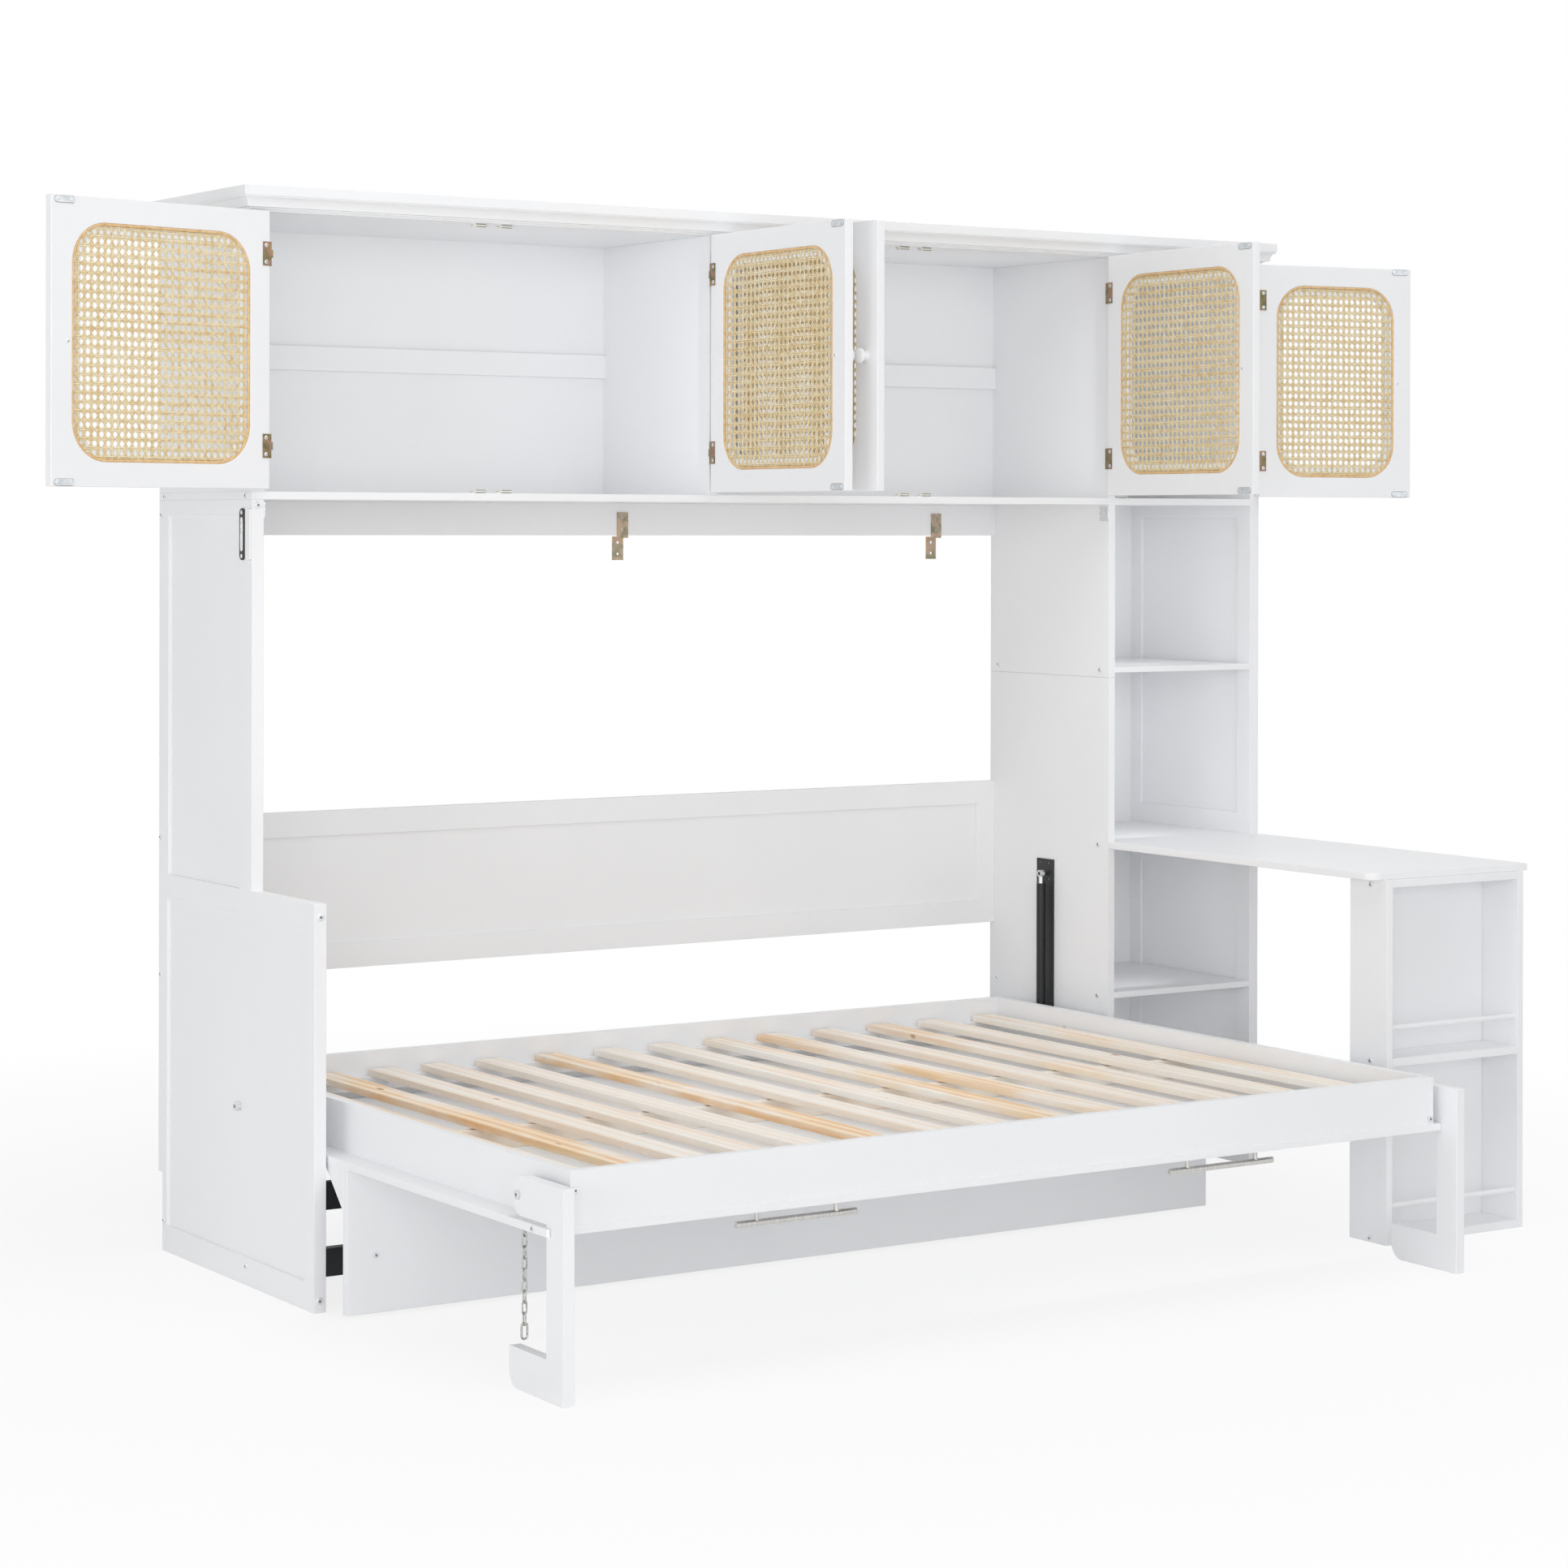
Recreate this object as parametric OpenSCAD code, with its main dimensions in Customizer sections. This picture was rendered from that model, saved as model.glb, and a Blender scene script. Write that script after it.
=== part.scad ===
// Cabinet wall bed: a horizontal fold-down bed box between a panelled side and a shelf tower,
// five cane-fronted doors above, a side desk with an end bookcase, and a desk board under the bed.
// Places are given as distance from the left outer face, depth out from the wall and height.

/* [Overall] */
// Width over both outer sides
unit_w = 2517; // [2500:1:2560]
// Height of the crown's top
crown_top_z = 2111; // [2105:1:2130]
// Depth of the upper carcass out from the wall
upper_d = 443; // [443:1:446]
// Depth of the left side below the step
lower_d = 720; // [700:1:760]
// Height of the side desk's top and of the step in the left side
desk_z = 759; // [755:1:765]
// Thickness of the two outer sides
side_t = 25; // [25:1:25]
// Thickness of ordinary boards
board_t = 18; // [18:1:18]
// Gap left at the wall and floor corner for the room's skirting, out from the wall
skirting_d = 20; // [10:1:28]
// Height of that skirting notch
skirting_h = 157; // [120:1:180]

/* [Side panels] */
// Width of the rear stile of a side frame
rear_stile_w = 47; // [40:1:55]
// Width of the front stile above the step
upper_stile_w = 57; // [48:1:60]
// Width of the front stile below the step
lower_stile_w = 43; // [38:1:50]
// Height of the bottom rail of a side frame
bottom_rail_h = 54; // [50:1:70]
// Height of the rail at the step
mid_rail_h = 47; // [40:1:55]
// Height of the frame's top rail
top_rail_h = 29; // [25:1:32]
// Depth of the panel recess in a side frame
recess_d = 6; // [4:1:8]

/* [Tower] */
// Width of the tower over its two sides
tower_w = 435.4; // [430:0.1:440]
// Height of the seam in the tower's inner side
tower_seam_z = 1125; // [1100:1:1130]
// Height of the upper shelf's top
upper_shelf_z = 1149; // [1140:1:1200]
// Height of the lower shelf's top
lower_shelf_z = 422; // [400:1:450]
// Thickness of the tower's shelves
shelf_t = 13; // [12:1:15]

/* [Wall cabinet] */
// Underside of the cabinet floor
cabinet_floor_z = 1511; // [1511:1:1513]
// Thickness of the cabinet floor and of the desk top
slab_t = 15; // [15:1:15]
// Height of the crown's top above the cabinet's ceiling
crown_rise = 47; // [45:1:47]
// Distance of the partition from the bed bay's middle, to the left
partition_shift = 10.8; // [9:0.1:13]
// Thickness of the partition
partition_t = 22; // [22:1:22]
// Thickness of the back boards
back_t = 8; // [6:1:8]
// Underside of the hanging rail
hanging_rail_z = 1781; // [1760:1:1800]
// Height of the hanging rail
hanging_rail_h = 50; // [40:1:60]
// Reach of the crown in front of the carcass
crown_reach = 29; // [29:1:32]

/* [Doors] */
// Thickness of a door
door_t = 18; // [18:1:18]
// Gap between two doors that meet
door_meet_gap = 2; // [2:0.5:5]
// Gap between the cabinet floor's top and a door
door_low_gap = 5; // [4:0.5:6]
// Gap between a door and the line of the cabinet's ceiling
door_high_gap = 1; // [1:0.5:3]
// Width of a door's stiles and rails
door_frame_w = 46; // [44:1:50]
// Corner radius of the cane opening
cane_corner_r = 75; // [60:1:85]
// Width of the lip in front of the cane
cane_lip_w = 21; // [15:1:28]
// Space between a hinge axis and the door's edge
hinge_gap = 5; // [5:0.5:6]
// Distance of a hinge leaf's middle from the door's top and bottom
hinge_inset = 82; // [70:1:100]
// Length of a hinge leaf
hinge_l = 46; // [40:1:50]
// Radius of a hinge knuckle
knuckle_r = 4.5; // [4:0.1:4.6]
// Radius of a hinge pin
hinge_pin_r = 2; // [1.8:0.1:2.4]
// Angle of door one from closed
door_1_open = 167.5; // [0:0.5:174]
// Angle of door two from closed
door_2_open = 90; // [0:1:90]
// Angle of door three from closed
door_3_open = 84; // [0:1:84]
// Angle of door four from closed
door_4_open = 89; // [0:1:110]
// Angle of door five from closed
door_5_open = 171; // [0:1:174]

/* [Bed] */
// Space between the bed box and the tower
bed_right_gap = 56; // [56:1:58]
// Outer width of the bed box
bed_w = 1434.6; // [1430:0.1:1436]
// Outer face of the bed box's left rail
bed_x = 75.6; // [75.6:0.1:77]
// Distance of the bed box's rear rail from the wall
bed_rear_f = 109; // [109:1:112]
// Underside of the bed's bottom panel
bed_under_z = 276; // [276:1:278]
// Thickness of the bottom panel
bottom_t = 14; // [14:1:14]
// Top of the bed box's rails
bed_top_z = 382; // [380:1:386]
// Width of a slat
slat_w = 56; // [50:1:60]
// Thickness of a slat
slat_t = 14; // [12:1:16]
// Underside of the slats
slat_z = 333; // [330:1:335]
// Height of the battens that carry the slats' ends
batten_h = 28; // [24:1:36]
// Depth of the bed's pivot out from the wall
pivot_f = 379; // [379:1:379]
// Height of the bed's pivot
pivot_z = 339; // [339:1:339]
// Radius of the pivot bolt
pivot_r = 8; // [7:0.5:9]
// Radial clearance of everything that turns or slides in a bore
running_gap = 0.06; // [0.04:0.01:0.1]

/* [Desk board] */
// Rear face of the fold-down desk board, out from the wall
desk_board_f = 780; // [770:1:800]
// Lower edge of the desk board with the bed down
desk_board_low_z = 6; // [5:1:12]
// Reach of the gussets behind the board
gusset_l = 80; // [60:1:100]

/* [Legs] */
// Thickness of a leg
leg_t = 22; // [22:0.5:22.5]
// Depth of a leg's pivot out from the wall
leg_pivot_f = 1435; // [1435:1:1435]
// Height of a leg's pivot
leg_pivot_z = 330; // [330:1:330]
// Front face of the legs
leg_front_f = 1590; // [1588:1:1592]
// Width of a leg's post
leg_post_w = 57; // [50:1:60]
// Height of the foot
leg_foot_h = 70; // [60:1:72]

/* [Gas springs] */
// Radius of the cylinder
spring_r = 10; // [9:0.5:10]
// Radius of the rod
spring_rod_r = 5; // [4:0.5:5]
// Depth of the upper stud out from the wall
stud_f = 224; // [224:1:224]
// Height of the upper stud
stud_z = 672; // [672:1:672]
// Radius of the studs
stud_r = 4; // [4:0.1:4.2]
// Height of the lower eye
lower_eye_z = 320; // [320:1:320]

/* [Side desk] */
// Depth of the side desk out from the wall
desk_f = 1303; // [1303:1:1306]
// Corner radius of the desk's free left corner
desk_corner_r = 28; // [15:1:34]
// Space between the bed box and the end bookcase
bookcase_gap = 91.4; // [86.4:0.2:99.4]
// Width of the end bookcase
bookcase_w = 381; // [370:1:384]
// Rear face of the bookcase
bookcase_f = 1200; // [1180:1:1210]
// Depth of the bookcase
bookcase_d = 111; // [100:1:120]
// Thickness of the bookcase's boards
bookcase_t = 16; // [14:1:18]
// Top of the middle bookshelf
bookshelf_z = 379; // [340:1:400]

/* [Hidden] */
$fn = 48;

tower_x = unit_w - tower_w;
tower_in_x = tower_x + board_t;
right_in_x = unit_w - side_t;
origin_x = (side_t + tower_x) / 2;
origin_f = 422;
floor_rail_w = 24;
cabinet_base_z = cabinet_floor_z + slab_t;
ceiling_z = crown_top_z - crown_rise;
partition_x = origin_x - partition_shift;
door_bottom_z = cabinet_base_z + door_low_gap;
door_top_z = ceiling_z - door_high_gap;
door_h = door_top_z - door_bottom_z;
hinge_f = upper_d + 13;
bed_end_x = tower_x - bed_right_gap;
bed_l = bed_end_x - bed_x;
bookcase_x = bed_end_x + bookcase_gap;
bed_front_f = bed_rear_f + bed_w;
bed_base_z = bed_under_z + bottom_t;
ledge_side = 46.6;
ledge_front_f = bed_front_f + 5;
leg_left_x = 36;
leg_right_x = tower_x - 38.1;
leg_slot_gap = 1.2;
leg_slot_rear_f = 1402;
leg_top_z = 362;
leg_arm_low_z = bed_base_z + 5;
knob_l = 22;
knob_inset = 36;
leaf_t = 1.5;
leaf_w = 17;
cane_t = 2;
cane_front = -5.5;
spring_x_right = tower_x - 21.6;
spring_x_left = side_t + 21.6;
spring_plate_t = 3;
seam_gap = 0.3;
joint_gap = 0.1;
tube_top_z = stud_z - 22;
tube_low_z = lower_eye_z + 18;
chain_x = 69;
chain_f = 1399;
paint = [0.86, 0.87, 0.88];
wood = [0.86, 0.75, 0.6];
rattan = [0.84, 0.66, 0.35];
dark_steel = [0.12, 0.12, 0.13];
bright_steel = [0.72, 0.72, 0.74];
zinc = [0.78, 0.66, 0.36];

// ---- placing helpers: x from the left face, f out from the wall, z up ----
// The origin is on the floor, under the middle of the bed bay's lower cross rail.

module place(x, f, z) {
    translate([x - origin_x, origin_f - f, z]) children();
}

module block(x0, x1, f0, f1, z0, z1) {
    place(x0, f1, z0) cube([x1 - x0, f1 - f0, z1 - z0]);
}

module rod_x(x0, x1, f, z, r) {
    place(x0, f, z) rotate([0, 90, 0]) cylinder(h = x1 - x0, r = r);
}

module rod_f(f0, f1, x, z, r) {
    place(x, f0, z) rotate([90, 0, 0]) cylinder(h = f1 - f0, r = r);
}

module rod_z(z0, z1, x, f, r) {
    place(x, f, z0) cylinder(h = z1 - z0, r = r);
}

// An outline in depth and height, drawn out along the width
module side_outline(x0, x1) {
    place(x0, 0, 0) rotate([90, 0, 90]) linear_extrude(x1 - x0)
        mirror([1, 0]) children();
}

// An outline in width and height, drawn out from the wall
module front_outline(f0, f1) {
    place(0, f0, 0) rotate([90, 0, 0]) linear_extrude(f1 - f0) children();
}

// An outline in width and depth, drawn upwards
module plan_outline(z0, z1) {
    place(0, 0, z0) linear_extrude(z1 - z0) mirror([0, 1]) children();
}

module rounded_rect(w, h, r) {
    translate([r, 0]) square([w - 2 * r, h]);
    translate([0, r]) square([w, h - 2 * r]);
    for (x = [r, w - r])
        for (y = [r, h - r])
            translate([x, y]) circle(r);
}

// ---- carcass ----

module lower_window() {
    translate([rear_stile_w - 5, bottom_rail_h])
        square([lower_d - rear_stile_w + 5 - lower_stile_w, desk_z - mid_rail_h - bottom_rail_h]);
}

module upper_window() {
    translate([rear_stile_w, desk_z + 1])
        square([upper_d - rear_stile_w - upper_stile_w, cabinet_floor_z - top_rail_h - desk_z - 1]);
}

module left_side_frame() {
    color(paint) side_outline(0, side_t) difference() {
        union() {
            translate([skirting_d, 0]) square([lower_d - skirting_d, skirting_h]);
            translate([0, skirting_h]) square([lower_d, desk_z - skirting_h]);
            translate([0, desk_z]) square([upper_d, cabinet_floor_z - desk_z]);
        }
        lower_window();
        upper_window();
    }
}

module tower_window(z0, z1) {
    translate([rear_stile_w, z0]) square([upper_d - 2 * rear_stile_w, z1 - z0]);
}

module tower_windows() {
    tower_window(bottom_rail_h, desk_z - mid_rail_h);
    tower_window(desk_z + mid_rail_h, cabinet_floor_z - top_rail_h);
}

module infill_panels() {
    color(paint) {
        difference() {
            side_outline(recess_d, side_t) lower_window();
            rod_x(0, side_t, pivot_f, pivot_z, pivot_r);
        }
        side_outline(recess_d, side_t) upper_window();
        side_outline(right_in_x + recess_d, unit_w) tower_windows();
        front_outline(0, board_t - recess_d) rear_panel_window();
    }
}

module skirted_side() {
    translate([skirting_d, 0]) square([upper_d - skirting_d, skirting_h]);
    translate([0, skirting_h]) square([upper_d, ceiling_z - skirting_h]);
}

module tower_inner_side() {
    color(paint) difference() {
        side_outline(tower_x, tower_in_x) intersection() {
            skirted_side();
            union() {
                square([upper_d, tower_seam_z]);
                translate([0, tower_seam_z + seam_gap]) square([upper_d, ceiling_z]);
            }
        }
        rod_x(tower_x, tower_in_x, pivot_f, pivot_z, pivot_r);
    }
}

module tower_outer_side() {
    color(paint) side_outline(right_in_x, unit_w) difference() {
        skirted_side();
        tower_windows();
    }
}

module tower_shelves() {
    color(paint) for (top = [upper_shelf_z, lower_shelf_z])
        block(tower_in_x, right_in_x, back_t, upper_d, top - shelf_t, top);
}

module side_desk_top() {
    color(paint) plan_outline(desk_z - slab_t, desk_z) {
        translate([tower_in_x, back_t]) square([right_in_x - tower_in_x, upper_d - back_t]);
        translate([tower_x, upper_d]) square([tower_w, desk_f - upper_d - desk_corner_r]);
        translate([tower_x + desk_corner_r, desk_f - desk_corner_r - 1])
            square([tower_w - desk_corner_r, desk_corner_r + 1]);
        translate([tower_x + desk_corner_r, desk_f - desk_corner_r]) circle(desk_corner_r);
    }
}

module bookcase_case() {
    top = desk_z - slab_t;
    right = bookcase_x + bookcase_w;
    front = bookcase_f + bookcase_d;
    color(paint) {
        block(bookcase_x, bookcase_x + bookcase_t, bookcase_f, front, 0, top);
        block(right - bookcase_t, right, bookcase_f, front, 0, top);
        block(bookcase_x + bookcase_t + joint_gap, right - bookcase_t - joint_gap,
            bookcase_f, bookcase_f + back_t, 0, top);
        block(bookcase_x + bookcase_t + joint_gap, right - bookcase_t - joint_gap,
            front - bookcase_t, front, top - bookcase_t, top);
    }
}

// The two shelves, each with the bar that keeps books from sliding out
module bookcase_shelves() {
    bar_r = 5.5;
    bar_lift = 62;
    x0 = bookcase_x + bookcase_t;
    x1 = bookcase_x + bookcase_w - bookcase_t;
    front = bookcase_f + bookcase_d;
    color(paint) for (top = [bookshelf_z, bookcase_t]) {
        block(x0, x1, bookcase_f + back_t, front, top - bookcase_t, top);
        rod_x(x0, x1, front - 12, top + bar_lift, bar_r);
    }
}

module cabinet_floor() {
    color(paint) {
        block(0, tower_x, 0, upper_d, cabinet_floor_z, cabinet_base_z);
        block(tower_in_x, right_in_x, 0, upper_d, cabinet_floor_z, cabinet_base_z);
    }
}

module cabinet_uprights() {
    color(paint) {
        block(0, side_t, 0, upper_d, cabinet_base_z, ceiling_z);
        block(partition_x - partition_t / 2, partition_x + partition_t / 2,
            0, upper_d, cabinet_base_z, ceiling_z);
    }
}

module cabinet_top() {
    color(paint) block(0, unit_w, 0, upper_d, ceiling_z, ceiling_z + slab_t);
}

module back_boards() {
    left_face = partition_x - partition_t / 2;
    right_face = partition_x + partition_t / 2;
    color(paint) {
        block(side_t, left_face, 0, back_t, cabinet_base_z, ceiling_z);
        block(right_face, tower_x, 0, back_t, cabinet_base_z, ceiling_z);
        block(tower_in_x, right_in_x, 0, back_t, cabinet_base_z, ceiling_z);
        block(tower_in_x, right_in_x, 0, back_t, skirting_h, cabinet_floor_z);
    }
}

module hanging_rail() {
    rail_t = 12;
    color(paint) {
        block(side_t, partition_x - partition_t / 2, back_t, back_t + rail_t,
            hanging_rail_z, hanging_rail_z + hanging_rail_h);
        block(partition_x + partition_t / 2, tower_x, back_t, back_t + rail_t,
            hanging_rail_z, hanging_rail_z + hanging_rail_h);
    }
}

// Section of the crown: reach out from the carcass, height
module crown_section() {
    base = door_top_z + 4;
    cove_w = crown_reach - 19;
    cove_h = 18;
    cove_z = base + 4;
    polygon(concat(
        [[0, base], [5, base], [7, base + 2], [7, cove_z], [17, cove_z]],
        [for (a = [15:15:90]) [17 + cove_w * (1 - cos(a)), cove_z + cove_h * sin(a)]],
        [[crown_reach - 2, crown_top_z - 19], [crown_reach, crown_top_z - 19],
         [crown_reach, crown_top_z], [0, crown_top_z]]
    ));
}

// The mitred share of one crown length, as an outline in width and depth
module crown_share(points) {
    plan_outline(door_top_z, crown_top_z + 1) polygon(points);
}

module crown_moulding() {
    out = crown_reach + 1;
    color(paint) {
        intersection() {
            place(-out, upper_d, 0) rotate([90, 0, 90]) linear_extrude(unit_w + 2 * out)
                mirror([1, 0]) crown_section();
            crown_share([[0, upper_d], [-out, upper_d + out],
                [unit_w + out, upper_d + out], [unit_w, upper_d]]);
        }
        intersection() {
            place(0, 0, 0) rotate([90, 0, 0]) linear_extrude(upper_d + out)
                mirror([1, 0]) crown_section();
            crown_share([[0, 0], [-out, 0], [-out, upper_d + out], [0, upper_d]]);
        }
        intersection() {
            place(unit_w, 0, 0) rotate([90, 0, 0]) linear_extrude(upper_d + out) crown_section();
            crown_share([[unit_w, 0], [unit_w + out, 0],
                [unit_w + out, upper_d + out], [unit_w, upper_d]]);
        }
    }
}

module top_back_rail() {
    color(paint) block(side_t, tower_x, 0, 21, cabinet_floor_z - 70, cabinet_floor_z);
}

rear_panel_low = 542;
rear_panel_high = 870.5;
rear_panel_stile = 52;
rear_panel_rail = 52;

module rear_panel_window() {
    translate([side_t + rear_panel_stile, rear_panel_low + rear_panel_rail])
        square([tower_x - side_t - 2 * rear_panel_stile,
            rear_panel_high - rear_panel_low - 2 * rear_panel_rail]);
}

module rear_panel_frame() {
    color(paint) front_outline(0, board_t) difference() {
        translate([side_t, rear_panel_low])
            square([tower_x - side_t, rear_panel_high - rear_panel_low]);
        rear_panel_window();
    }
}

bracket_w = 27;
bracket_t = 3;
bracket_hole_r = 3.2;
bracket_top_z = cabinet_floor_z - 20;
bracket_mid_z = bracket_top_z - 52.5;
bracket_low_z = bracket_mid_z - 51.5;
bracket_xs = [partition_x + 29, tower_x - 173.1];

module wall_brackets() {
    rail_f = 21;
    color(zinc) for (x = bracket_xs) difference() {
        union() {
            block(x - bracket_w / 2, x + bracket_w / 2, rail_f, rail_f + bracket_t,
                bracket_mid_z, bracket_top_z);
            block(x - bracket_w / 2, x + bracket_w / 2, 0, rail_f + bracket_t,
                bracket_mid_z - bracket_t, bracket_mid_z);
            block(x - bracket_w / 2, x + bracket_w / 2, 0, bracket_t,
                bracket_low_z, bracket_mid_z);
        }
        for (z = [bracket_top_z - 12, bracket_top_z - 37])
            rod_f(rail_f - 1, rail_f + bracket_t + 1, x, z, bracket_hole_r);
        for (z = [bracket_low_z + 13.5, bracket_low_z + 38.5])
            rod_f(-1, bracket_t + 1, x, z, bracket_hole_r);
    }
}

module cross_rails() {
    color(dark_steel) {
        block(side_t, tower_x, origin_f - floor_rail_w / 2, origin_f + floor_rail_w / 2, 0, 55);
        block(side_t, tower_in_x, upper_d + 4, upper_d + 24, 137, 191);
        block(tower_x + 2, tower_in_x, upper_d, upper_d + 4, 139, 189);
    }
}

// Thin keepers inside the sides, where the bed's free end latches
module latch_keepers() {
    keeper_t = 3;
    keeper_top_z = cabinet_floor_z - 5;
    color(bright_steel) {
        block(side_t, side_t + keeper_t, upper_d - 30, upper_d, keeper_top_z - 31, keeper_top_z);
        block(tower_x - keeper_t, tower_x, upper_d - 30, upper_d, keeper_top_z - 31, keeper_top_z);
    }
}

// Bolt heads and screw caps that show on the carcass faces
module joint_bolts() {
    head_r = 5.5;
    cap_r = 6.5;
    head_h = 2;
    color(bright_steel) {
        for (p = [[27, 1518.5], [415, 1518.5], [11, 1482], [10, 832], [11, 556], [29, 62], [422, 37]])
            rod_x(-head_h, 0, p[0], p[1], head_r);
        for (p = [[30, 1142], [411, 1142], [407, 751], [27, 413], [405, 413]])
            rod_x(tower_x - head_h, tower_x, p[0], p[1], head_r);
        for (z = [desk_z - slab_t - 12, bookshelf_z - 8, bookcase_t / 2])
            rod_x(bookcase_x - head_h, bookcase_x, bookcase_f + 62, z, head_r);
    }
    color(paint) {
        rod_f(upper_d, upper_d + 1.5, 12.5, 1500, cap_r);
        rod_f(lower_d, lower_d + 1.5, 13, desk_z - 25, cap_r);
        rod_f(lower_d, lower_d + 1.5, 12, 22, cap_r);
    }
}

// The lock's slotted bar, with the strip it slides in beside it
module lock_plate() {
    bar_t = 4;
    bar_r = 10.5;
    bar_f = upper_d - 39.5;
    top_z = cabinet_floor_z - 27.5;
    low_z = top_z - 79;
    color(dark_steel) difference() {
        union() {
            block(-bar_t, 0, bar_f - bar_r, bar_f + bar_r, low_z, top_z);
            for (z = [low_z, top_z]) rod_x(-bar_t, 0, bar_f, z, bar_r);
        }
        block(-bar_t - 1, 1, bar_f - 3.5, bar_f + 3.5, low_z + 15.5, top_z - 15.5);
        for (z = [low_z - 2.5, top_z + 2.5]) rod_x(-bar_t - 1, 1, bar_f, z, 2.5);
    }
    color(bright_steel) block(-2, 0, bar_f + 12.5, bar_f + 33.5, low_z - 10.5, top_z + 10.5);
}

module spring_plate(x, side) {
    plate_f = 215;
    plate_w = 62;
    rear_f = plate_f - plate_w / 2;
    x0 = side > 0 ? x - spring_plate_t : x;
    stud_tip = side > 0 ? x - 27 : x + 27;
    difference() {
        block(x0, x0 + spring_plate_t, rear_f, rear_f + plate_w, 352, 704);
        for (p = [[-22, 695], [11, 694], [11, 659], [-6, 501]])
            rod_x(x0 - 1, x0 + spring_plate_t + 1, plate_f + p[0], p[1], 3);
    }
    root_x = x0 + spring_plate_t / 2;
    rod_x(min(root_x, stud_tip), max(root_x, stud_tip), stud_f, stud_z, stud_r);
}

module spring_plates() {
    color(dark_steel) {
        spring_plate(tower_x, 1);
        spring_plate(side_t, -1);
    }
}

// A catch body for one door's edge, at the ceiling and at the floor
module door_catch(x) {
    catch_l = 38;
    catch_d = 16;
    catch_h = 8;
    x0 = x - catch_l / 2;
    rear_f = upper_d - 27;
    block(x0, x0 + catch_l, rear_f, rear_f + catch_d, ceiling_z - catch_h, ceiling_z);
    block(x0, x0 + catch_l, rear_f, rear_f + catch_d, cabinet_base_z, cabinet_base_z + catch_h);
}

module door_catches() {
    catch_inset = 29;
    color(paint) {
        for (pair = [[0, 1], [2, 3]]) {
            meet_x = (hinge_x[pair[0]] + hinge_x[pair[1]]) / 2;
            for (s = [-1, 1]) door_catch(meet_x + s * catch_inset);
        }
        door_catch(tower_in_x + catch_inset);
    }
}

// ---- doors: each is drawn closed about its own hinge axis, then swung open ----

// Axis of each hinge, measured from the left face, with the side that it is hung on
hinge_x = [29, partition_x - 9.5, partition_x + 9.5, tower_x - 9.6, right_in_x + 4];
hung_right = [false, true, false, true, true];
leaf_reach = [17, 8, 8, 20, 12];
door_w_left = (hinge_x[1] - hinge_x[0] - door_meet_gap) / 2 - hinge_gap;
door_w_middle = (hinge_x[3] - hinge_x[2] - door_meet_gap) / 2 - hinge_gap;
door_w_tower = hinge_x[4] - hinge_gap - tower_x - 0.4;
door_w = [door_w_left, door_w_left, door_w_middle, door_w_middle, door_w_tower];
door_open = [door_1_open, door_2_open, door_3_open, door_4_open, door_5_open];

module at_hinge(i, angle) {
    s = hung_right[i] ? 1 : -1;
    place(hinge_x[i], hinge_f, 0) rotate([0, 0, s * angle])
        mirror([hung_right[i] ? 1 : 0, 0, 0]) children();
}

// A slab from x0 to x1 along the door and n0 to n1 out of its middle plane
module door_block(x0, x1, n0, n1, z0, z1) {
    translate([x0, -n1, z0]) cube([x1 - x0, n1 - n0, z1 - z0]);
}

module door_face(n0, n1) {
    translate([hinge_gap, -n0, door_bottom_z]) rotate([90, 0, 0]) linear_extrude(n1 - n0) children();
}

module cane_opening(i, inset) {
    m = door_frame_w + inset;
    translate([m, m]) rounded_rect(door_w[i] - 2 * m, door_h - 2 * m, cane_corner_r - inset);
}

module door_frame(i) {
    color(paint) at_hinge(i, door_open[i]) {
        door_face(-door_t / 2, cane_front) difference() {
            square([door_w[i], door_h]);
            cane_opening(i, 0);
        }
        door_face(cane_front, door_t / 2) difference() {
            square([door_w[i], door_h]);
            cane_opening(i, cane_lip_w);
        }
    }
}

// The sheet lies in the rebate behind the lip, with a round bead along its edge
module door_cane(i) {
    bead_w = 5;
    color(rattan) at_hinge(i, door_open[i]) {
        door_face(cane_front - cane_t, cane_front) cane_opening(i, 0);
        door_face(-door_t / 2 + 0.4, cane_front - cane_t) difference() {
            cane_opening(i, 0);
            cane_opening(i, bead_w);
        }
    }
}

module door_knob(i) {
    color(paint) at_hinge(i, door_open[i])
        translate([hinge_gap + door_w[i] - knob_inset, -door_t / 2, (door_top_z + door_bottom_z) / 2])
            rotate([90, 0, 0]) rotate_extrude()
                polygon([[0, 0], [11, 0], [11, 2], [8, 4.5], [6.5, 7], [7, 9.5], [10, 12],
                    [14, 13.5], [15.5, 15.5], [14.5, 18], [11, 20.5], [5, knob_l], [0, knob_l]]);
}

hinge_zs = [door_bottom_z + hinge_inset, door_top_z - hinge_inset];
knuckle_share = 1 / 3;
leaf_clear = 0.4;

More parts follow.
